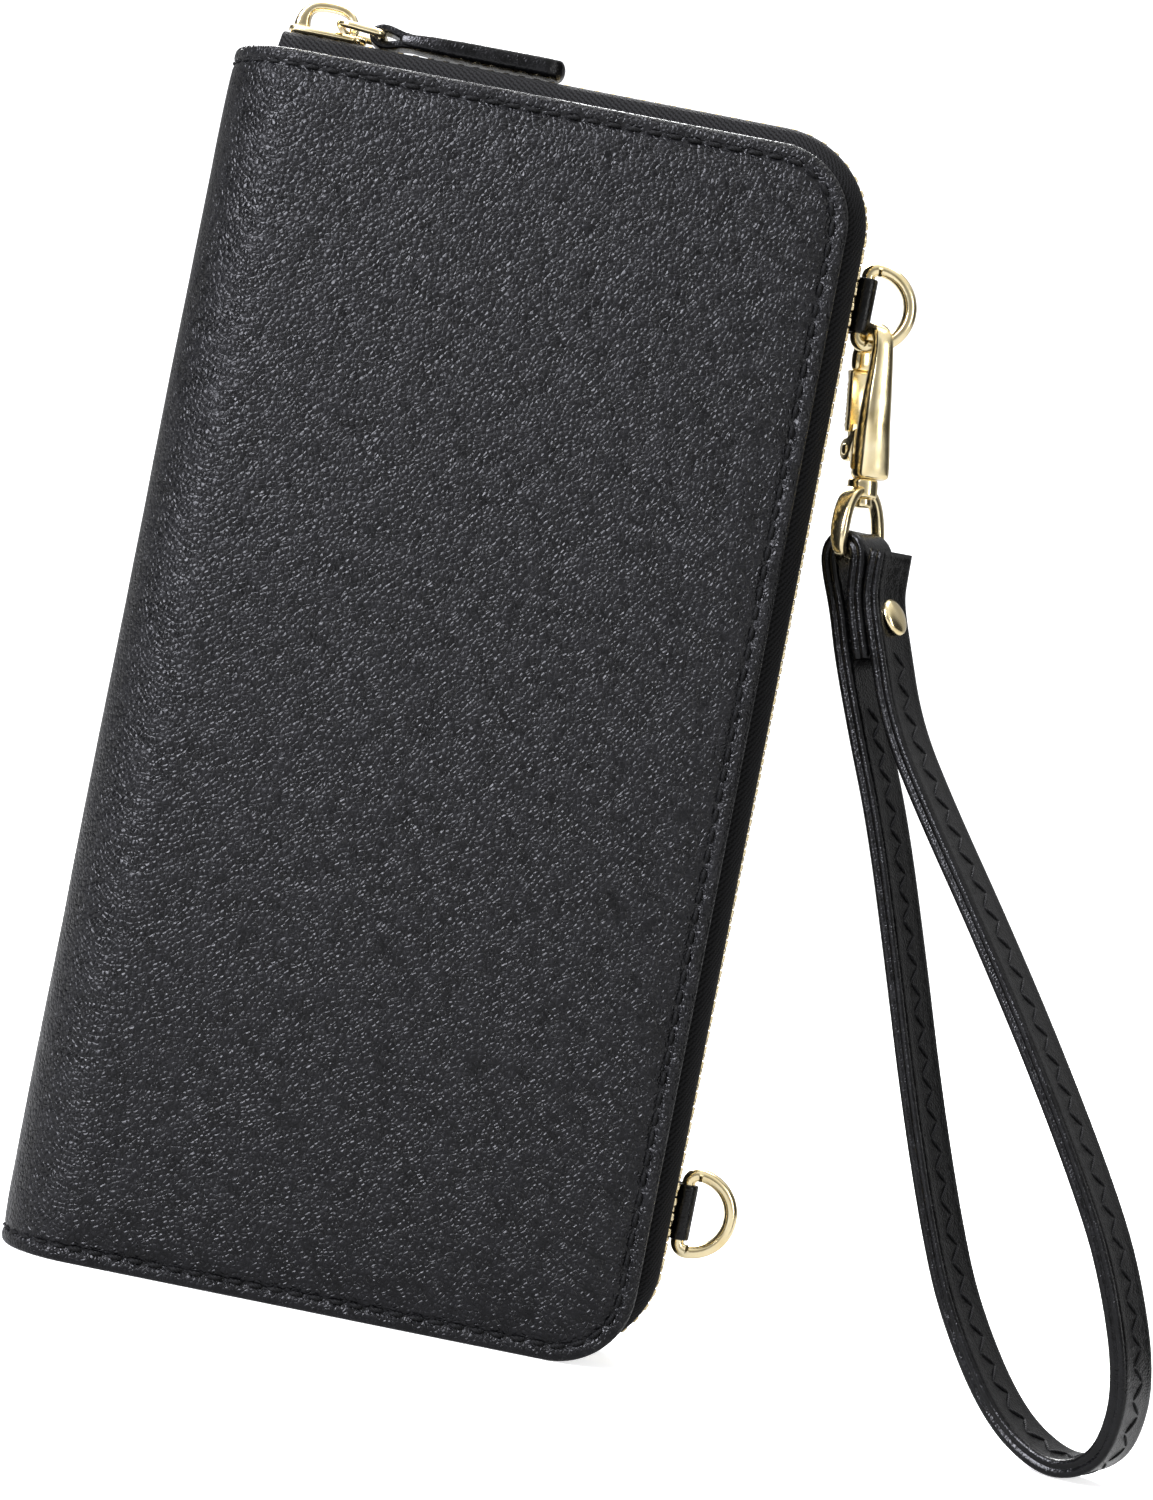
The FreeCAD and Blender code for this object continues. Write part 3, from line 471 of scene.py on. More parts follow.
def outer_leather():
    """The one leather skin of both covers and the spine, with its board's thickness turned in."""
    rows = [e for e in EDGE_STEPS]
    rows += [13 + (HEIGHT - 26) * k / 80 for k in range(1, 80)]
    rows += [HEIGHT - e for e in reversed(EDGE_STEPS)]
    columns = outer_columns()
    outer, inner = [], []
    for z in rows:
        edge = free_edge(z)
        last = edge - EDGE_STEPS[-1]
        for panel, kind, value in columns:
            end = min(z, HEIGHT - z)
            if panel == "spine":
                turn = math.pi * value
                out = Vector((-math.sin(turn), -math.cos(turn), 0))
                foot = Vector((SPINE_X, MIDDLE, z))
                s = SPINE_X - SPINE_R * turn
                near_panel = min(value, 1 - value) * math.pi * SPINE_R
                blend = min(1.0, near_panel / 6)
                rise = relief(end, s, 0.75 - 0.45 * blend, z, s)
                base = LEATHER + (COVER - LEATHER) * (1 - min(1.0, near_panel / 3.5))
                outer.append(foot + out * (SPINE_R + rise))
                inner.append(foot + out * (SPINE_R - base + max(0.0, 0.35 - end)))
                continue
            x = edge - value if kind == "inset" else last + (SPINE_X - last) * value
            inset = max(0.0, inset_of(x, z))
            s = x if panel == "front" else -2 * FREE - x
            rise = relief(inset, seam_run(x, z), 0.75, z, s)
            lift = max(0.0, 0.5 - inset)
            if panel == "front":
                outer.append(Vector((x, -DEPTH - rise, z)))
                inner.append(Vector((x, -DEPTH + COVER - lift, z)))
            else:
                outer.append(Vector((x, rise, z)))
                inner.append(Vector((x, -COVER + lift, z)))
    width, count = len(columns), len(rows)
    faces = []
    shift = len(outer)
    for i in range(count - 1):
        for j in range(width - 1):
            a, b, c, d = i * width + j, i * width + j + 1, (i + 1) * width + j + 1, (i + 1) * width + j
            faces.append((a, b, c, d))
            faces.append((shift + d, shift + c, shift + b, shift + a))
    rim = [j for j in range(width)] + [i * width + width - 1 for i in range(1, count)]
    rim += [(count - 1) * width + j for j in range(width - 2, -1, -1)]
    rim += [i * width for i in range(count - 2, 0, -1)]
    for a, b in zip(rim, rim[1:] + rim[:1]):
        faces.append((b, a, shift + a, shift + b))
    made = piece("outer_leather", outer + inner, faces, COVER_LEATHER)
    made.data.materials.append(LINING)
    spine = [(SPINE_X - 0.5) * MM, (MIDDLE - 11.8) * MM, (MIDDLE + 11.8) * MM]
    for face in made.data.polygons:
        centre = face.center
        away = Vector((centre.x, centre.y)) - Vector((SPINE_X, MIDDLE)) * MM
        if centre.x < spine[0] and away.length < 11.9 * MM:
            face.material_index = 1
    fit(made, "", "black_leather", "rear_cover_leather", "front_cover_leather")
    fold(made)


def fold(made):
    """Bakes the piece's placement into its mesh."""
    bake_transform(made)


def cover_seam(front):
    """The stitches along the top, the free edge and the foot of one cover."""
    y = -DEPTH + 0.16 if front else -0.16
    out = Vector((0, -1 if front else 1, 0))
    corners = [
        Vector((SPINE_X, y, HEIGHT - SEAM)),
        Vector((FREE - SEAM, y, HEIGHT - SEAM)),
        Vector((FREE - SEAM, y, SEAM)),
        Vector((SPINE_X, y, SEAM)),
    ]
    bend = CORNER - SEAM
    path = spaced(rounded(corners, [0, bend, bend, 0], steps=12, closed=False), 3.0)
    parts = [stitch(spot, heading, out, radius=0.36) for spot, heading in along(path, PITCH, PITCH / 2)]
    side = "front" if front else "rear"
    made = piece(f"{side}_cover_stitches", *joined(parts), THREAD)
    fit(made, f"{side}_half", "black_leather")


def along(path, pitch, start):
    """Spots and headings at even steps along a path."""
    left = start
    for before, after in zip(path, path[1:]):
        length = (after - before).length
        heading = (after - before).normalized()
        while left < length:
            yield before + heading * left, heading
            left += pitch
        left -= length


def spine_seam():
    """The stitches across both ends of the spine."""
    parts = []
    count = round(math.pi * SPINE_R / PITCH)
    for z in (SEAM, HEIGHT - SEAM):
        for k in range(count):
            turn = math.pi * (k + 0.5) / count
            out = Vector((-math.sin(turn), -math.cos(turn), 0))
            heading = Vector((-math.cos(turn), math.sin(turn), 0))
            parts.append(stitch(Vector((SPINE_X, MIDDLE, z)) + out * (SPINE_R - 0.3), heading, out))
    made = piece("spine_stitches", *joined(parts), THREAD)
    fit(made, "", "black_leather")
    fold(made)


# ------------------------------------------------------------------ the zip


def zip_line(gap):
    """The zip's path at a distance inside its outer line, from the slider end to the foot of the spine."""
    top, right, foot = ZIP_TOP - gap, ZIP_RIGHT - gap, ZIP_FOOT + gap
    corners = [Vector((ZIP_LEFT, MIDDLE, top)), Vector((right, MIDDLE, top))]
    corners += [Vector((right, MIDDLE, foot)), Vector((ZIP_LEFT, MIDDLE, foot))]
    return corners, CORNER + 3.2 - gap


def lifted(point, share=None):
    """The top run of the zip stands a little prouder than its other two sides."""
    if share is None:
        share = max(0.0, min(1.0, (point.z - 184) / 14))
        share *= share * (3 - 2 * share)
    return point + Vector((0, 0, 0.8 * share))


def zip_tape(front):
    """Half of the tape: a flat flange under the cover, an arch out to the teeth and a corded edge."""
    sign = -1 if front else 1
    profile = [(11.0, 9.1), (10.8, 9.75), (8.0, 9.75), (5.0, 9.7)]
    profile += [(3.6, 9.55), (2.6, 9.2), (1.8, 8.5), (1.2, 7.4)]
    profile += [(0.55, 6.1), (0.15, 4.7), (-0.05, 3.4), (-0.05, 2.6)]
    profile += [(-0.15, 2.25), (-0.12, 1.85), (0.2, 1.45)]
    inner = [(1.1, 1.45), (1.3, 1.8), (1.2, 2.4), (0.8, 3.4)]
    inner += [(1.0, 4.7), (1.4, 5.9), (1.9, 6.9), (2.6, 7.9)]
    inner += [(3.3, 8.5), (4.3, 8.8), (6.0, 8.95), (9.0, 9.0)]
    outline = profile + inner
    corners, _ = zip_line(0.0)
    radius = CORNER + 3.2
    centreline = spaced(rounded(corners, [0, radius, radius, 0], steps=20, closed=False), 4.0)
    rings, uvs = [], []
    run = 0.0
    for index, (spot, heading) in enumerate(zip(centreline, headings(centreline))):
        inward = heading.cross(Vector((0, -1, 0))).normalized()
        run += (spot - centreline[index - 1]).length if index else 0.0
        ring = []
        for gap, rise in outline:
            point = spot + inward * gap + Vector((0, sign * rise, 0))
            ring.append(lifted(point) if rise < 7.5 else point)
        rings.append(ring)
        across = 0.0
        for k, point in enumerate(rings[-1]):
            across += (point - rings[-1][k - 1]).length if k else 0.0
            uvs.append((run, across))
    side = "front" if front else "rear"
    made = piece(f"{side}_zip_tape_cloth", *skin(rings), TAPE, uvs)
    fit(made, f"{side}_half", "zip_cloth", f"{side}_zip_tape")


def zip_teeth(front):
    """One row of cast teeth: a root on the tape's cord and a rounded nose between its neighbours."""
    corners, bend = zip_line(0.35)
    path = spaced(rounded(corners, [0, bend, bend, 0], steps=20, closed=False), 4.0)
    side = -1 if front else 1
    outline = [(-0.5, -0.85), (0.5, -0.85), (0.62, -0.7), (0.62, 0.66)]
    outline += [(0.46, 0.84), (-0.46, 0.84), (-0.62, 0.66), (-0.62, -0.7)]
    steps = [(-1.95, 0.7, 0.8), (-1.85, 0.92, 0.95), (-1.6, 1.0, 1.0), (-0.4, 1.0, 1.0), (-0.1, 0.8, 0.95)]
    steps += [(0.3, 0.72, 0.85), (0.85, 0.72, 0.8), (1.05, 0.6, 0.7), (1.12, 0.35, 0.45)]
    parts = []
    for spot, heading in along(path, 2.6, 1.3 if front else 0.0):
        if front and spot.z > HEIGHT and spot.x < -31.5:
            continue
        out = heading.cross(Vector((0, 1, 0))).normalized()
        if out.dot(spot - Vector((0, MIDDLE, HEIGHT / 2))) < 0:
            out.negate()
        rise = 0.05 if spot.z > 10 and not (spot.z > HEIGHT and spot.x < -31.5) else 0.0
        rings = []
        for depth, along_scale, height_scale in steps:
            middle = spot + Vector((0, -side * depth, 0)) + out * rise
            rings.append([middle + heading * (a * along_scale) + out * (b * height_scale) for a, b in outline])
        parts.append(skin(rings))
    name = "front" if front else "rear"
    points, faces = joined(parts)
    made = piece(f"{name}_teeth", [lifted(point) for point in points], faces, TEETH)
    fit(made, f"{name}_half", "zip_metal", f"{name}_zip_teeth")


def d_ring(name, body, z):
    """A drawn-wire ring with a straight bar, seen as a capital D."""
    half, left, right = 6.6, 58.8, 58.8 + 8.1
    corners = [Vector((left, -8, z - half)), Vector((right, -8, z - half)), Vector((right, -8, z + half))]
    corners.append(Vector((left, -8, z + half)))
    path = spaced(rounded(corners, [1.6, 6.55, 6.55, 1.6], steps=14), 1.5)
    made = piece(f"{name}_wire", *tube(path, 1.15, Vector((0, 1, 0)), closed=True, sides=20), GOLD)
    fit(made, body, "gold_metal", name)


def d_ring_tab(name, z):
    """A leather strip round the ring's bar, pressed flat where it goes in under the cover."""
    thick, half, bar = 0.6, 4.7, Vector((58.8, -8, 0))
    reach = 1.15 + thick / 2 + 0.08
    line = [Vector((53.6, -3.9, 0)), Vector((55.2, -4.4, 0)), Vector((57.4, -5.6, 0))]
    line += [bar + Vector((math.cos(a), math.sin(a), 0)) * reach for a in turning(15, 110, -170)]
    line += [Vector((57.0, -8.1, 0)), Vector((55.9, -6.6, 0))]
    line += [Vector((54.9, -5.4, 0)), Vector((53.6, -4.7, 0))]
    edges = [(-half, 0.6), (-half + 0.25, 0.95), (-half + 0.7, 1.0)]
    edges += [(half - 0.7, 1.0), (half - 0.25, 0.95), (half, 0.6)]
    rings = []
    for point, heading in zip(line, headings(line)):
        out = heading.cross(Vector((0, 0, 1)))
        ring = [point + Vector((0, 0, z + a)) + out * (b * thick / 2) for a, b in edges]
        ring += [point + Vector((0, 0, z + a)) - out * (b * thick / 2) for a, b in reversed(edges)]
        rings.append(ring)
    made = piece(f"{name}_fold", *skin(rings), FINE_LEATHER)
    fit(made, "rear_half", "black_leather", name)


# ---------------------------------------------------------------- the slider


def bevelled(outline, low, high, bevel, plane):
    """Rings of a plate with rounded rims: an outline in two axes, raised between two levels on the third."""
    centre = sum(outline, Vector((0, 0))) / len(outline)
    rings = []
    steps = [(1.0, 0.0), (0.62, 0.08), (0.3, 0.3), (0.08, 0.62), (0.0, 1.0)]
    levels = [(low + bevel * b, a) for a, b in steps] + [(high - bevel * b, a) for a, b in reversed(steps)]
    for level, share in levels:
        ring = []
        for point in outline:
            away = point - centre
            inner = centre + away * (1 - share * bevel / max(away.length, bevel))
            ring.append(plane(inner.x, inner.y, level))
        rings.append(ring)
    return skin(rings)


def zip_slider():
    """Polished slider: a waisted top plate with turned-down lips, a lower plate and the arched crown."""
    left, length = ZIP_LEFT, 13.4
    middle = left + length / 2
    half = [(0.0, 2.3), (1.6, 3.0), (4.5, 3.25), (8.2, 3.1), (11.2, 2.7), (12.8, 1.7), (13.4, 0.0)]
    outline = [Vector((left + a, MIDDLE + b)) for a, b in half]
    outline += [Vector((left + a, MIDDLE - b)) for a, b in reversed(half[:-1])]
    outline = smooth_outline(outline)
    parts = []
    for low, high in ((208.85, 209.9), (205.85, 206.85)):
        parts.append(bevelled(outline, low, high, 0.4, lambda x, y, z: Vector((x, y, z))))
    for side in (1, -1):
        for low, high in ((208.5, 209.75), (205.9, 207.2)):
            rings = []
            for a, bulge in ((0.5, 0.1), (2.5, 0.4), (5.0, 0.55), (8.0, 0.5), (10.5, 0.2), (11.8, -0.2)):
                y = MIDDLE + side * (2.55 + bulge)
                corners = ((-0.45, 0.12), (-0.12, 0.0), (0.2, 0.05), (0.5, 0.4))
                ring = [Vector((left + a, y + side * b, low + c)) for b, c in corners]
                ring += [Vector((left + a, y + side * b, high - c)) for b, c in reversed(corners)]
                rings.append(ring)
            parts.append(skin(rings))
    arch = [(-4.6, 209.3, 1.5, 1.7), (-4.7, 210.6, 1.35, 1.65)]
    arch += [(-4.6, 211.8, 1.15, 1.6), (-4.2, 212.9, 0.98, 1.5)]
    arch += [(-3.4, 213.75, 0.85, 1.4), (-2.2, 214.15, 0.78, 1.35)]
    arch += [(-0.5, 214.25, 0.74, 1.3), (1.0, 214.2, 0.74, 1.3)]
    arch += [(2.3, 213.95, 0.74, 1.35), (3.3, 213.35, 0.74, 1.4)]
    arch += [(3.95, 212.5, 0.74, 1.5), (4.2, 211.5, 0.76, 1.6)]
    arch += [(4.25, 210.5, 0.8, 1.65), (4.25, 209.4, 0.85, 1.7)]
    spots = [Vector((middle + x, MIDDLE, z)) for x, z, _, _ in arch]
    rings = []
    for spot, heading, (_, _, thick, wide) in zip(spots, headings(spots), arch):
        out = heading.cross(Vector((0, 1, 0))).normalized()
        ring = []
        for a in turning(25, 0, 360)[:-1]:
            offset = out * (thick * squircle(math.cos(a))) + Vector((0, wide * squircle(math.sin(a)), 0))
            ring.append(spot + offset)
        rings.append(ring)
    parts.append(skin(rings))
    points, faces = joined(parts)
    made = piece("zip_slider_body", [lifted(point, 1) for point in points], faces, GOLD)
    soften(made, 1)
    fit(made, "zip_slider", "gold_metal", "zip_slider")


def soften(made, levels):
    """Rounds a piece off with one subdivision, applied to its mesh."""
    smoother = made.modifiers.new("Rounding", "SUBSURF")
    smoother.levels = smoother.render_levels = levels
    bpy.context.view_layer.update()
    shape = made.evaluated_get(bpy.context.evaluated_depsgraph_get())
    mesh = bpy.data.meshes.new_from_object(shape)
    made.modifiers.clear()
    made.data = mesh
    made.data.name = made.name
    mesh.polygons.foreach_set("use_smooth", [True] * len(mesh.polygons))


def squircle(value):
    """Pushes a sine or cosine outwards, so that a circle turns into a soft-cornered bar."""
    return math.copysign(abs(value) ** 0.6, value)


def smooth_outline(points, rounds=2):
    """Corner cutting on a closed outline."""
    for _ in range(rounds):
        points = [p.lerp(q, t) for p, q in zip(points, points[1:] + points[:1]) for t in (0.25, 0.75)]
    return points


def pull_link():
    """The wire link that joins the crown to the pull, a little higher at the crown."""
    spot = lifted(Vector((-33.1, MIDDLE, 210.95)), 1)
    a, b = 3.7, 4.9
    lean = Matrix.Rotation(math.radians(4.5), 3, "Y")
    corners = [spot + lean @ Vector((x, y, 0)) for x, y in ((-a, -b), (a, -b), (a, b), (-a, b))]
    path = spaced(rounded(corners, [1.9, 1.3, 1.3, 1.9], steps=8), 1.2)
    made = piece("pull_link_wire", *tube(path, 0.64, lean @ Vector((0, 0, 1)), closed=True, sides=14), GOLD)
    fit(made, "pull_link", "gold_metal", "pull_link")


def band(path, across_axis, widths, edge):
    """A strip swept along a path. Its edge is given as (inset from its side, rise) points of one quarter."""
    rings, uvs, run = [], [], 0.0
    for index, (spot, heading, wide) in enumerate(zip(path, headings(path), widths)):
        out = heading.cross(across_axis).normalized()
        run += (spot - path[index - 1]).length if index else 0.0
        upper = [(-(wide - inset), rise) for inset, rise in edge]
        upper += [(wide - inset, rise) for inset, rise in reversed(edge)]
        ring = upper + [(a, -b) for a, b in reversed(upper)]
        rings.append([spot + across_axis * a + out * b for a, b in ring])
        across = 0.0
        for k, (a, b) in enumerate(ring):
            if k:
                across += math.hypot(a - ring[k - 1][0], b - ring[k - 1][1])
            uvs.append((run, across))
    points, faces = skin(rings)
    return points, faces, uvs


def pull_tab():
    """The leather pull: a strip looped round the link, then a thick glossy body with a rounded end."""
    hinge = lifted(Vector((-29.4, MIDDLE, 210.85)), 1)
    loop = [(6.5, 0.5), (3.7, 0.62), (2.3, 1.05), (0.8, 1.42), (-0.5, 1.4), (-1.5, 0.75), (-1.8, 0.0)]
    loop += [(x, -z) for x, z in reversed(loop[:-1])]
    path = smooth_route([hinge + Vector((x, 0, z)) for x, z in loop], 0.4)
    edge = [(0.0, 0.12), (0.0, 0.38), (0.1, 0.56), (0.3, 0.64), (1.2, 0.65)]
    widths = [2.35 + 0.5 * max(0.0, spot.x - hinge.x) / 6.5 for spot in path]
    points, faces, _ = band(path, Vector((0, 1, 0)), widths, edge)
    stations = [(2.9, 0.75, 2.45), (3.4, 1.1, 2.7), (4.4, 1.28, 2.95), (6.0, 1.42, 3.2), (9.0, 1.58, 3.5)]
    stations += [(14.0, 1.68, 3.6), (20.0, 1.72, 3.6), (25.0, 1.74, 3.6), (27.6, 1.74, 3.6)]
    for a in turning(12, 12, 88):
        x = 27.6 + 3.6 * math.sin(a)
        fall = max(0.0, (x - 29.9) / 1.3)
        stations.append((x, 1.74 * math.sqrt(max(0.01, 1 - fall**2.2)), 3.6 * math.cos(a) + 0.12))
    rings = []
    for x, thick, wide in stations:
        ring = []
        for a in turning(41, 0, 360)[:-1]:
            y, z = wide * corner_in(math.cos(a)), thick * corner_in(math.sin(a))
            ring.append(hinge + Vector((x, y, z)))
        rings.append(ring)
    made = piece("pull_tab_leather", *joined([(points, faces), skin(rings)]), FINE_LEATHER)
    fit(made, "pull_tab", "pull_leather", "pull_tab")
    seam = []
    for side in (1, -1):
        line = [hinge + Vector((x, side * 2.55, 0)) for x in (8.0, 27.6)]
        seam += list(along(line, 2.3, 1.0))
    for a in turning(5, -72, 72):
        spot = hinge + Vector((27.6 + 2.4 * math.cos(a), 2.55 * math.sin(a), 0))
        seam.append((spot, Vector((-math.sin(a), math.cos(a), 0))))
    parts = []
    for spot, heading in seam:
        rise = 1.6 + 0.1 * min(1.0, (spot.x - hinge.x - 8) / 10)
        for side in (1, -1):
            out = Vector((0, 0, side))
            parts.append(stitch(spot + out * (rise - 0.32), heading, out, length=1.7, radius=0.16, rise=0.04))
    sewn = piece("pull_tab_stitches", *joined(parts), THREAD)
    fit(sewn, "pull_tab", "pull_leather")


def corner_in(value):
    """As squircle, with fuller corners."""
    return math.copysign(abs(value) ** 0.45, value)


# ----------------------------------------------------------------- the clasp

CLASP_SPOT = Vector((61.9, -8.0, 176.75))
CLASP_LEAN = math.radians(6.9)
CLASP_DOWN = Vector((math.sin(CLASP_LEAN), 0, -math.cos(CLASP_LEAN)))
CLASP_TURN = Matrix.Rotation(-CLASP_LEAN, 3, "Y") @ Matrix.Rotation(math.radians(-65), 3, "Z")
BAR_SPOT = CLASP_SPOT + CLASP_DOWN * 35.6
ACROSS = Vector((0.5359, 0.8418, 0.0648))
STRAP_UP = Vector((-0.4203, 0.1994, 0.8852))


def in_clasp(x, y, z):
    """A point of the clasp's own frame, in which the nose is at low X and the swivel hangs below."""
    return CLASP_SPOT + CLASP_TURN @ Vector((x, y, z))


def hung(x, y, z, spot=BAR_SPOT, up=STRAP_UP):
    """A point of a hanging frame whose Y runs along the eye's bar and whose Z points up it."""
    return spot + ACROSS.cross(up).normalized() * x + ACROSS * y + up * z


def clasp_hook():
    """The cast hook: a broad nose and crown that swell into the back, with a collar end and gate ears."""
    sections = [(-3.3, 0.0, -3.75, 0.5, 1.2), (-3.3, 0.0, -3.6, 0.9, 1.8), (-3.3, 0.0, -3.2, 1.1, 2.0)]
    sections += [(-3.3, 0.0, -2.2, 1.15, 2.05), (-3.25, 0.0, -1.0, 1.15, 2.0)]
    for a in turning(13, 180, 0):
        share = (1 - math.cos(a - math.pi)) / 2
        sections.append((3.2 * math.cos(a), 0.25 * share, 3.2 * math.sin(a), 1.15, 1.75 + 0.05 * share))
    sections += [(3.2, 0.2, -1.5, 1.3, 1.9), (3.2, 0.12, -3.5, 1.5, 2.05), (3.2, -0.05, -6.0, 1.7, 2.28)]
    sections += [(3.15, -0.15, -8.5, 1.9, 2.48), (3.0, -0.2, -11.0, 2.1, 2.64)]
    sections += [(2.6, -0.1, -13.5, 2.25, 2.8)]
    sections += [(2.1, 0.15, -16.0, 2.4, 2.95), (1.6, 0.4, -18.3, 2.5, 3.08), (1.2, 0.6, -20.3, 2.55, 3.18)]
    sections += [(1.0, 0.68, -21.6, 2.55, 3.2)]
    sections += [(0.95, 0.7, -22.15, 2.45, 3.08), (0.9, 0.7, -22.4, 2.1, 2.7)]
    centres = [Vector((x, y, z)) for x, y, z, _, _ in sections]
    rings = []
    for (_, _, z, thick, wide), centre, heading in zip(sections, centres, headings(centres)):
        out = heading.cross(Vector((0, 1, 0))).normalized()
        if z < -16.0 and centre.x > 0:
            out = Vector((math.copysign(1, out.x), 0, 0))
        ring = []
        for a in turning(33, 0, 360)[:-1]:
            flat = squircle(math.sin(a)) if z < 2 else math.sin(a)
            ring.append(in_clasp(*(centre + out * (math.cos(a) * thick) + Vector((0, flat * wide, 0)))))
        rings.append(ring)
    parts = [skin(rings)]
    for near, far, radius in ((-3.0, -1.72, 1.95), (1.72, 2.5, 1.5)):
        pin = Vector((-1.9, -17.5))
        outline = [pin + Vector((math.cos(a), math.sin(a))) * radius for a in turning(24, 80, 340)]
        outline += [Vector((0.9, -21.0)), Vector((1.2, -14.2))]
        parts.append(bevelled(outline, near, far, 0.3, lambda a, b, c: in_clasp(a, c, b)))
    post = [(0.35, -22.2), (1.25, -22.2), (1.25, -25.6), (1.62, -25.68)]
    post += [(1.72, -25.9), (1.72, -27.0), (1.6, -27.25)]
    post.append((0.6, -27.35))
    parts.append(turned(post, in_clasp))
    made = piece("clasp_hook_body", *joined(parts), GOLD)
    fit(made, "clasp_hook", "gold_metal", "clasp_hook")


def turning(count, start, stop):
    """Angles in even steps, from degrees to radians."""
    return [math.radians(start + (stop - start) * k / (count - 1)) for k in range(count)]


def turned(profile, frame_of, sides=28):
    """A turned part from (radius, height) points round the Z of its frame."""
    rings = []
    for radius, z in profile:
        turns = turning(sides + 1, 0, 360)[:-1]
        rings.append([frame_of(radius * math.cos(a), radius * math.sin(a), z) for a in turns])
    return skin(rings)


def clasp_gate():
    """The sprung lever with its thumb ridges, its hub and the pin's rounded heads."""
    ridges = []
    for k in range(9):
        ridges += [(-4.35, -13.2 + 0.9 * k), (-3.95, -12.75 + 0.9 * k)]
    blade = [(-4.35, -3.72), (-3.0, -3.72), (-2.5, -4.4)]
    blade += [(-2.45, -13.0), (-2.7, -14.2), (-3.9, -14.3)] + ridges
    hub = [(-2.4, -13.0), (-2.2, -15.4), (-0.75, -16.6), (-0.6, -18.2)]
    hub += [(-1.5, -19.0), (-2.7, -18.9), (-3.4, -18.2)]
    hub += [(-3.8, -16.8), (-4.1, -14.5), (-4.1, -13.2)]
    parts = []
    for outline, half in ((blade, 2.15), (hub, 1.55)):
        flat = [Vector(point) for point in outline]
        parts.append(bevelled(flat, -half, half, 0.2, lambda a, b, c: in_clasp(a, c, b)))
    made = piece("clasp_gate_lever", *joined(parts), GOLD)
    fit(made, "clasp_gate", "gold_metal", "clasp_gate")
    head = [(0.15, 0.4), (0.55, 0.36), (0.9, 0.22), (1.02, 0.02), (0.98, -0.12)]
    profile = [(radius, 2.5 + rise) for radius, rise in head] + [(0.68, 2.3), (0.68, -2.9)]
    profile += [(radius, -3.0 - rise) for radius, rise in reversed(head)]

    def round_pin(a, b, c):
        return in_clasp(-1.9 + a, c, -17.5 + b)

    pin = piece("clasp_gate_rivet", *turned(profile, round_pin, sides=22), GOLD)
    fit(pin, "clasp_hook", "gold_metal", "clasp_gate_pin")


def clasp_eye():
    """The swivel: a round collar whose sides run down into two flat arms and the bar of the strap."""
    up = -CLASP_DOWN

    def spot(x, y, z):
        return hung(x, y, z, CLASP_SPOT, up)

    side = [(1.2, -24.4, 0.8), (2.4, -24.6, 0.95), (3.7, -25.3, 1.0), (4.9, -26.6, 1.0), (5.8, -28.4, 1.0)]
    side += [(6.35, -30.4, 1.0), (6.6, -32.4, 1.0), (6.55, -34.0, 0.95)]
    side += [(6.0, -35.1, 0.95), (4.9, -35.6, 0.95)]
    right = [Vector((0, y, z)) for y, z, _ in side]
    loop = right + [Vector((0, -point.y, point.z)) for point in reversed(right)]
    thicks = [t for _, _, t in side] + [t for _, _, t in reversed(side)]
    rings = []
    for point, heading, thick in zip(loop, headings(loop, True), thicks):
        out = heading.cross(Vector((1, 0, 0))).normalized()
        low = max(0.0, min(1.0, (point.z + 35.0) / 3.0))
        wide = 1.0 + (0.65 if point.y < 0 else 0.05) * low
        ring = []
        for a in turning(21, 0, 360)[:-1]:
            offset = out * (thick * squircle(math.cos(a))) + Vector((wide * squircle(math.sin(a)), 0, 0))
            ring.append(spot(*(point + offset)))
        rings.append(ring)
    collar = [(1.4, -22.45), (2.3, -22.45), (2.55, -22.65), (2.62, -23.1), (2.62, -25.1), (2.55, -25.5)]
    collar += [(2.3, -25.7), (1.4, -25.7)]
    points, faces = joined([skin(rings, closed_path=True), turned_ring(collar, spot)])
    made = piece("clasp_eye_stirrup", points, faces, GOLD)
    soften(made, 1)
    fit(made, "clasp_eye", "gold_metal", "clasp_eye")


def turned_ring(profile, frame_of, sides=28):
    """A turned ring: its profile closes on itself round a hole."""
    rings = []
    for a in turning(sides + 1, 0, 360)[:-1]:
        rings.append([frame_of(radius * math.cos(a), radius * math.sin(a), z) for radius, z in profile])
    return skin(rings, closed_path=True)


# ------------------------------------------------------------ the wrist strap


def sway(z):
    """How far the strap hangs off to the wallet's side below the bar."""
    share = max(0.0, min(1.0, -z / 26))
    return -2.4 * share * share * (3 - 2 * share)


def strap_line():
    """The middle of the band, from its cut end down and round the loop and over the bar to its tail."""
    right = [(6.45, -1.5), (4.75, -5.0), (3.25, -8.8), (3.25, -16.0)]
    right += [(2.3, -30.0), (4.3, -45.4), (8.2, -67.3)]
    right += [(11.7, -90.8), (14.1, -112.7), (14.6, -126.8), (12.2, -144.0), (6.3, -153.3), (0.0, -155.6)]
    left = [(-6.4, -153.4), (-12.6, -144.0), (-15.3, -126.8)]
    left += [(-14.7, -112.7), (-12.1, -90.8), (-8.3, -67.3)]
    left += [(-5.1, -45.4), (-4.1, -30.0), (-3.6, -16.0)]
    left += [(-3.25, -8.8), (-3.3, -0.8), (-2.2, 2.1), (0.0, 3.0)]
    tail = [(2.1, 2.1), (3.0, -0.5), (1.1, -5.0), (0.0, -8.8), (0.0, -18.0)]
    return smooth_route([Vector((x + sway(z), 0, z)) for x, z in right + left + tail], 1.1)


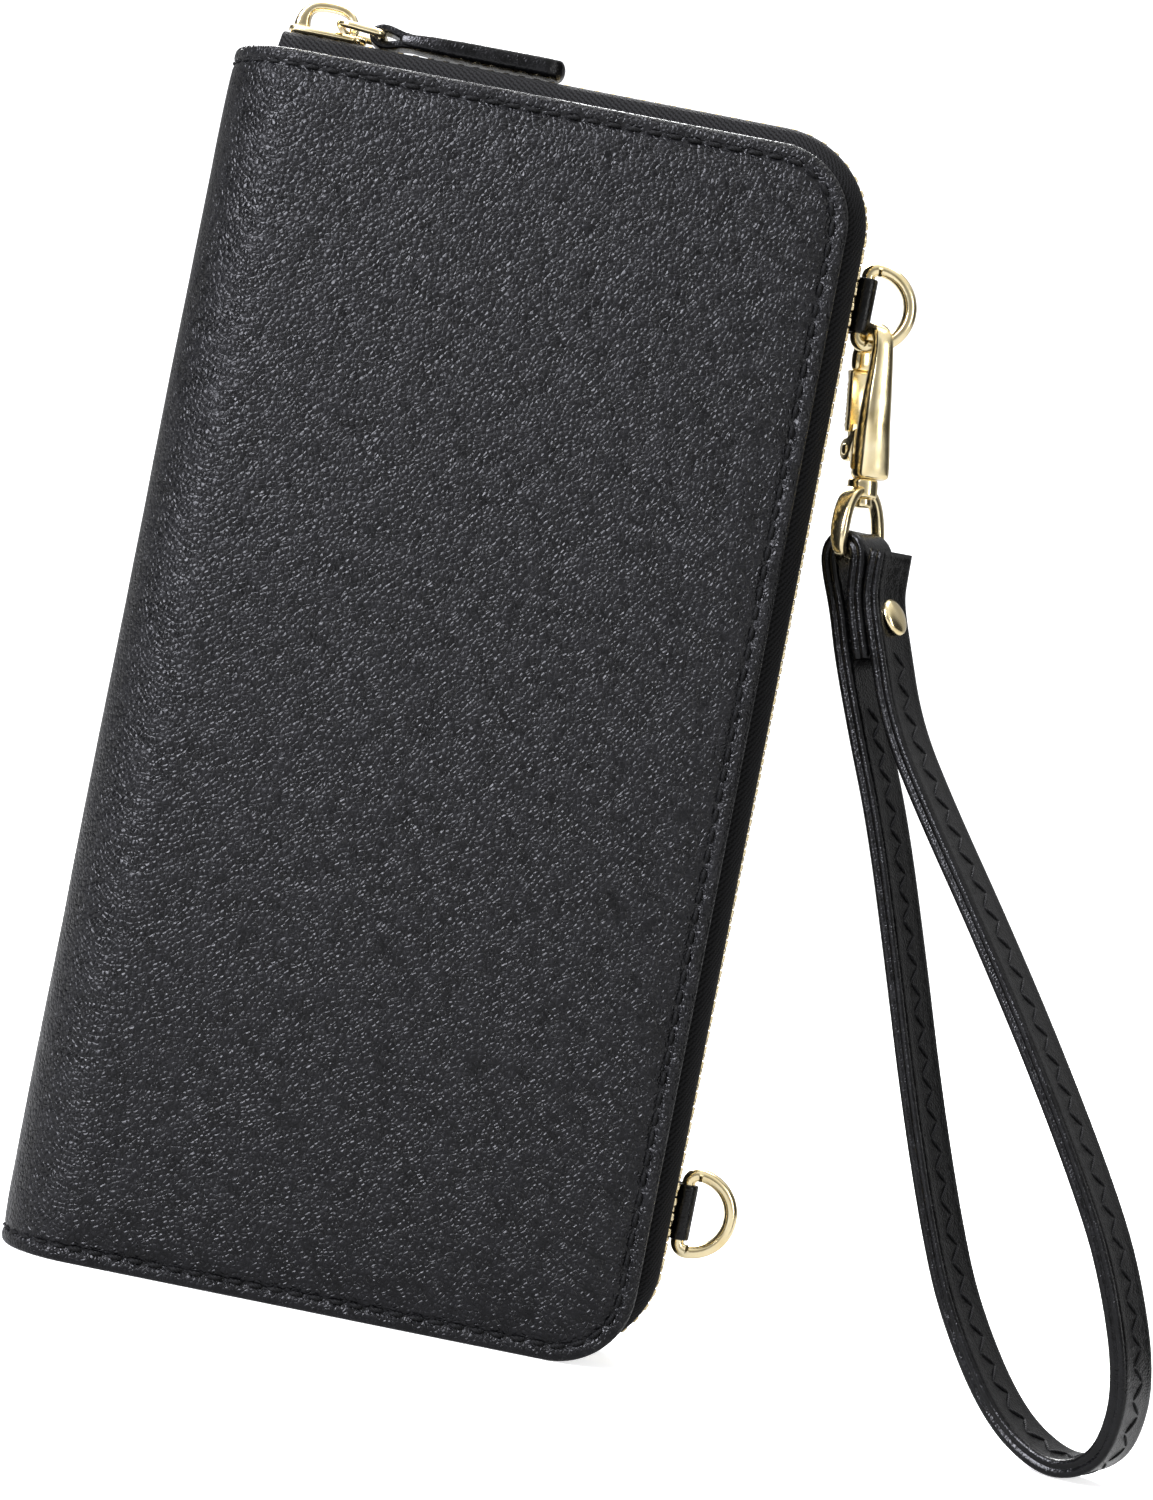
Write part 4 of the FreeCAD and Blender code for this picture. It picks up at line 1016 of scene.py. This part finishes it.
def wrist_strap():
    """Two layers of leather with rolled edges and a groove between them, sewn together in a zigzag."""
    path = strap_line()
    count = len(path)
    edge = [(0.3, 0.05), (0.08, 0.3), (0.0, 0.75), (0.1, 1.15)]
    edge += [(0.45, 1.44), (1.0, 1.5), (1.7, 1.42), (3.2, 1.4)]
    points, faces, uvs = band(path, Vector((0, 1, 0)), [5.25] * count, edge)
    made = piece("wrist_strap_leather", [hung(*point) for point in points], faces, FINE_LEATHER, uvs)
    fit(made, "wrist_strap", "black_leather", "wrist_strap")
    parts = []
    spots = list(along(path, 2.6, 17.5))
    for index, ((spot, heading), (after, _)) in enumerate(zip(spots, spots[1:])):
        if (spot - path[-1]).length < 9 and index > len(spots) // 2:
            break
        swing = 1.5 if index % 2 else -1.5
        start, stop = spot + Vector((0, swing, 0)), after - Vector((0, swing, 0))
        out = heading.cross(Vector((0, 1, 0))).normalized()
        for side in (1, -1):
            lift = out * (side * 1.4)
            run = (stop - start).normalized()
            long = (stop - start).length * 1.04
            middle = (start + stop) / 2 + lift
            points, faces = stitch(middle, run, out * side, length=long, radius=0.24, rise=0.1)
            parts.append(([hung(*point) for point in points], faces))
    sewn = piece("wrist_strap_stitches", *joined(parts), THREAD)
    fit(sewn, "wrist_strap", "black_leather")


def strap_rivet():
    """The domed rivet head on the strap's face and its smaller cap behind."""

    def facing(side, start):
        def spot(a, b, c):
            return hung(start + side * c + sway(-12.3), a, -12.3 + b)

        return spot

    dome = [(1.6, -0.2), (3.0, 0.0), (3.25, 0.12), (3.3, 0.35)]
    dome += [(3.1, 0.7), (2.6, 1.0), (1.8, 1.22), (0.9, 1.32)]
    dome.append((0.2, 1.34))
    head = piece("rivet_dome", *turned(dome, facing(1, 4.62), sides=32), GOLD)
    fit(head, "wrist_strap", "gold_metal", "strap_rivet")
    back = piece("rivet_cap", *turned(dome, facing(-1, -4.62), sides=32), GOLD)
    fit(back, "wrist_strap", "gold_metal", "strap_rivet_cap")


# ---------------------------------------------------------------- the inside


def panel(low, high, facing, slack, hem=0.0):
    """A thin sewn panel: rolled rim, a line pressed in along its hem and a little slackness."""
    insets = [0.0, 0.08, 0.25, 0.5, 0.9, 1.3, 1.7, 2.2, 3.0]

    def stations(start, stop):
        count = max(2, round((stop - start - 6) / 3))
        inner = [start + 3 + (stop - start - 6) * k / count for k in range(1, count)]
        return [start + e for e in insets] + inner + [stop - e for e in reversed(insets)]

    across, along_z = stations(low.x, high.x), stations(low.z, high.z)
    back, thick = (low.y, high.y - low.y) if facing > 0 else (high.y, low.y - high.y)
    points = []
    for z in along_z:
        for x in across:
            inset = min(x - low.x, high.x - x, z - low.z, high.z - z)
            roll = min(0.5, abs(thick))
            drop = roll - math.sqrt(max(0.0, roll**2 - max(0.0, roll - inset) ** 2))
            press = 0.16 * math.exp(-(((high.x - x - hem) / 0.35) ** 2)) if hem else 0.0
            wave = slack * min(1.0, inset / 5) * noise.noise(Vector((x / 17, z / 21, back + 3.3)))
            points.append(Vector((x, back + thick + facing * (wave - drop - press), z)))
    width, count = len(across), len(along_z)
    faces = []
    for i in range(count - 1):
        for j in range(width - 1):
            a = i * width + j
            faces.append((a, a + 1, a + width + 1, a + width))
    rim = list(range(width)) + [i * width + width - 1 for i in range(1, count)]
    rim += [(count - 1) * width + j for j in range(width - 2, -1, -1)]
    rim += [i * width for i in range(count - 2, 0, -1)]
    base = len(points)
    points += [Vector((points[k].x, back, points[k].z)) for k in rim]
    size = len(rim)
    for k in range(size):
        faces.append((rim[k], base + k, base + (k + 1) % size, rim[(k + 1) % size]))
    faces.append(tuple(base + k for k in reversed(range(size))))
    return points, faces


def corners_of(node):
    """A node's lowest and highest corners, in mm."""
    return [corner * 1000 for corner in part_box(node)]


def half_inside(front):
    """The lining and the stepped card slots of one cover, with a seam along each slot's hem."""
    side, facing = ("front", 1) if front else ("rear", -1)
    low, high = corners_of(f"{side}_lining")
    lining = piece(f"{side}_lining_satin", *panel(low, high, facing, 0.25), LINING)
    fit(lining, f"{side}_half", "lining_cloth", f"{side}_lining")
    seams = []
    for number in range(1, 5):
        node = f"{side}_card_slot_{number}"
        low, high = corners_of(node)
        slot = piece(f"{node}_leather", *panel(low, high, facing, 0.12, hem=1.6), FINE_LEATHER)
        fit(slot, f"{side}_half", "black_leather", node)
        face = high.y if front else low.y
        line = [Vector((high.x - 1.6, face, low.z + 1.5)), Vector((high.x - 1.6, face, high.z - 1.5))]
        out = Vector((0, facing, 0))
        seams += [stitch(spot, heading, out, 2.0, 0.2, 0.05) for spot, heading in along(line, 2.8, 1.4)]
    for z in (11.6, 103.0, 193.4):
        face = -DEPTH + 5.8 if front else -5.8
        line = [Vector((-37.0, face, z)), Vector((9.0, face, z))]
        out = Vector((0, facing, 0))
        seams += [stitch(spot, heading, out, 2.0, 0.2, 0.05) for spot, heading in along(line, 2.8, 1.4)]
    sewn = piece(f"{side}_slot_stitches", *joined(seams), THREAD)
    fit(sewn, f"{side}_half", "black_leather")


def coin_pocket():
    """The coin leaf: two leather walls, a bound edge on three sides and its zip's tapes."""
    low, high = corners_of("coin_pocket")
    inner = low + Vector((1.2, 0, 1.2)), high - Vector((0, 0, 1.2))

    def between(side, y):
        return Vector((inner[side].x, y, inner[side].z))

    walls = [
        panel(between(0, high.y - 0.9), between(1, high.y), 1, 0.3, hem=1.8),
        panel(between(0, low.y), between(1, low.y + 0.9), -1, 0.3, hem=1.8),
    ]
    middle = (low.y + high.y) / 2
    corners = [Vector((high.x, middle, low.z + 1.3)), Vector((low.x + 1.3, middle, low.z + 1.3))]
    corners += [Vector((low.x + 1.3, middle, high.z - 1.3)), Vector((high.x, middle, high.z - 1.3))]
    path = spaced(rounded(corners, [0, 5.0, 5.0, 0], steps=8, closed=False), 3.0)
    section = [(-1.25, 0.0), (-1.2, 0.9), (-0.8, 1.6), (0.0, 1.97), (0.9, 1.98), (1.5, 1.85), (1.7, 1.5)]
    rings = []
    for spot, heading in zip(path, headings(path)):
        inward = heading.cross(Vector((0, -1, 0))).normalized()
        if inward.dot(Vector((0, 0, (low.z + high.z) / 2)) - spot) < 0:
            inward.negate()
        ring = [spot + inward * a + Vector((0, b, 0)) for a, b in section]
        ring += [spot + inward * a - Vector((0, b, 0)) for a, b in reversed(section[1:])]
        rings.append(ring)
    made = piece("coin_pocket_leather", *joined(walls + [skin(rings)]), FINE_LEATHER)
    fit(made, "coin_leaf", "black_leather", "coin_pocket")
    seams = []
    for facing, face in ((1, high.y), (-1, low.y)):
        line = [spot + Vector((0, face - spot.y, 0)) for spot in path]
        moved = []
        for spot, heading in along(line, 2.9, 1.5):
            inward = heading.cross(Vector((0, -1, 0))).normalized()
            if inward.dot(Vector((0, face, (low.z + high.z) / 2)) - spot) < 0:
                inward.negate()
            moved.append(stitch(spot + inward * 1.0, heading, Vector((0, facing, 0)), 2.0, 0.2, 0.02))
        seams += moved
    sewn = piece("coin_pocket_stitches", *joined(seams), THREAD)
    fit(sewn, "coin_leaf", "black_leather")
    for side, facing in (("rear", -1), ("front", 1)):
        low, high = corners_of(f"coin_tape_{side}")
        points, faces = panel(low, high, facing, 0.0)
        uvs = [(point.z, point.x) for point in points]
        tape = piece(f"coin_tape_{side}_cloth", points, faces, TAPE, uvs)
        fit(tape, "coin_leaf", "zip_cloth", f"coin_tape_{side}")


# ---------------------------------------------------------- camera and light


def take_view():
    """The camera, level with the wallet's middle and rolled so that the wallet leans."""
    azimuth, elevation, roll = (math.radians(angle) for angle in (1.5, 0.0, 11.21))
    level = math.cos(elevation)
    ahead = Vector((-math.sin(azimuth) * level, math.cos(azimuth) * level, -math.sin(elevation)))
    side = ahead.cross(Vector((0, 0, 1))).normalized()
    rise = side.cross(ahead)
    right = side * math.cos(roll) + rise * math.sin(roll)
    up = rise * math.cos(roll) - side * math.sin(roll)
    data = bpy.data.cameras.new("product_camera")
    data.sensor_fit, data.sensor_width, data.lens = "HORIZONTAL", 36.0, 111.0
    data.clip_start, data.clip_end = 0.05, 20.0
    camera = bpy.data.objects.new("product_camera", data)
    bpy.context.scene.collection.objects.link(camera)
    axes = Matrix((right, up, -ahead)).transposed().to_4x4()
    axes.translation = Vector((0.0259, -0.013, 0.0999)) - ahead * 0.6
    camera.matrix_world = axes
    bpy.context.scene.camera = camera
    bpy.context.scene.view_settings.view_transform = "Standard"


def panel_light(name, spot, target, width, height, power, tint="#ffffff"):
    """A softbox that faces a point."""
    data = bpy.data.lights.new(name, "AREA")
    data.shape, data.size, data.size_y, data.energy = "RECTANGLE", width, height, power
    data.color = linear(tint)[:3]
    light = bpy.data.objects.new(name, data)
    light.location = spot
    light.rotation_euler = (Vector(target) - Vector(spot)).to_track_quat("-Z", "Y").to_euler()
    bpy.context.scene.collection.objects.link(light)


def white_surface(name, glow, grey):
    """Matt white paper: plain white to the camera, with a soft shadow left where the wallet stands."""
    material = bpy.data.materials.new(name)
    material.use_nodes = True
    tree = material.node_tree
    tree.nodes.clear()
    matt = add(tree, "ShaderNodeBsdfDiffuse", Color=linear(grey))
    light = add(tree, "ShaderNodeEmission", Strength=glow)
    seen = add(tree, "ShaderNodeLightPath")
    both = add(tree, "ShaderNodeAddShader", {0: matt.outputs[0], 1: light.outputs[0]})
    dull = add(tree, "ShaderNodeBsdfDiffuse", Color=linear("#6a6a6a"))
    mirrored = add(
        tree,
        "ShaderNodeMath",
        {0: seen.outputs["Is Glossy Ray"], 1: seen.outputs["Is Transmission Ray"]},
        operation="MAXIMUM",
    )
    part = add(tree, "ShaderNodeMath", {0: mirrored.outputs[0]}, operation="MULTIPLY")
    part.inputs[1].default_value = 0.28
    direct = seen.outputs["Is Camera Ray"]
    shown = add(tree, "ShaderNodeMath", {0: direct, 1: part.outputs[0]}, operation="MAXIMUM")
    choice = add(tree, "ShaderNodeMixShader", {0: shown.outputs[0], 1: dull.outputs[0], 2: both.outputs[0]})
    out = add(tree, "ShaderNodeOutputMaterial")
    tree.links.new(choice.outputs[0], out.inputs["Surface"])
    return material


def studio_sky():
    """Bright all round but for a dim patch straight ahead and dark sides, so that the grain shows."""
    world = bpy.data.worlds.new("studio")
    world.use_nodes = True
    tree = world.node_tree
    way = tree.nodes.new("ShaderNodeTexCoord")
    parts = add(tree, "ShaderNodeSeparateXYZ", {"Vector": way.outputs["Generated"]})
    side = add(tree, "ShaderNodeMath", {0: parts.outputs["X"]}, operation="ABSOLUTE")
    screens = spread(tree, side.outputs[0], 0.6, 0.88, 1.0, 0.05)
    ahead = spread(tree, parts.outputs["Y"], -0.95, -0.68, 0.3, 1.0)
    level = add(tree, "ShaderNodeMath", {0: screens, 1: ahead}, operation="MULTIPLY")
    tree.links.new(level.outputs[0], tree.nodes["Background"].inputs["Strength"])
    tree.nodes["Background"].inputs["Color"].default_value = linear("#ffffff")
    bpy.context.scene.world = world


def stage():
    """A white floor that runs up into a white wall, a white sky dim ahead and dark at the sides, and four
    softboxes.
    """
    reach, bend, top = 1.6, 0.6, 3.5
    profile = [(-3.0, 0.0), (reach, 0.0)]
    profile += [(reach + bend * math.sin(a), bend - bend * math.cos(a)) for a in turning(13, 0, 90)[1:]]
    profile.append((reach + bend, top))
    points = [(x * 1000, y * 1000, z * 1000 - 0.02) for y, z in profile for x in (-3.5, 3.5)]
    faces = [(2 * i, 2 * i + 1, 2 * i + 3, 2 * i + 2) for i in range(len(profile) - 1)]
    sweep = piece("studio_sweep", points, faces, white_surface("white_studio_paper", 0.72, "#f4f4f4"))
    studio_sky()
    panel_light("key_box", (-0.75, -0.85, 0.7), (-0.02, 0, 0.12), 0.4, 0.7, 34, "#f3f4ff")
    panel_light("side_box", (1.25, -0.9, 0.5), (0.03, 0, 0.1), 0.25, 0.9, 5)
    panel_light("top_box", (0.0, 0.3, 1.5), (0, 0, 0.1), 1.4, 1.0, 14)
    panel_light("rear_box", (-0.25, 1.0, 1.0), (0.02, 0, 0.12), 0.8, 0.5, 26)


take_view()
stage()
outer_leather()
cover_seam(True)
cover_seam(False)
spine_seam()
zip_tape(True)
zip_tape(False)
zip_teeth(True)
zip_teeth(False)
d_ring("d_ring_upper", "d_ring_upper", 183.3)
d_ring("d_ring_lower", "d_ring_lower", 26.5)
d_ring_tab("d_ring_tab_upper", 183.3)
d_ring_tab("d_ring_tab_lower", 26.5)
zip_slider()
pull_link()
pull_tab()
clasp_hook()
clasp_gate()
clasp_eye()
wrist_strap()
strap_rivet()
half_inside(True)
half_inside(False)
coin_pocket()
softened("coin_teeth", "coin_zip_teeth", "coin_leaf", "zip_metal", TEETH, 0.18)
softened("coin_slider_body", "coin_slider", "coin_slider", "zip_metal", GOLD, 0.35, 3)
softened("coin_pull_plate", "coin_pull", "coin_pull", "zip_metal", GOLD, 0.3, 3)

for board in ("front_board", "rear_board"):
    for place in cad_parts[board].material_slots:
        place.material = CARD
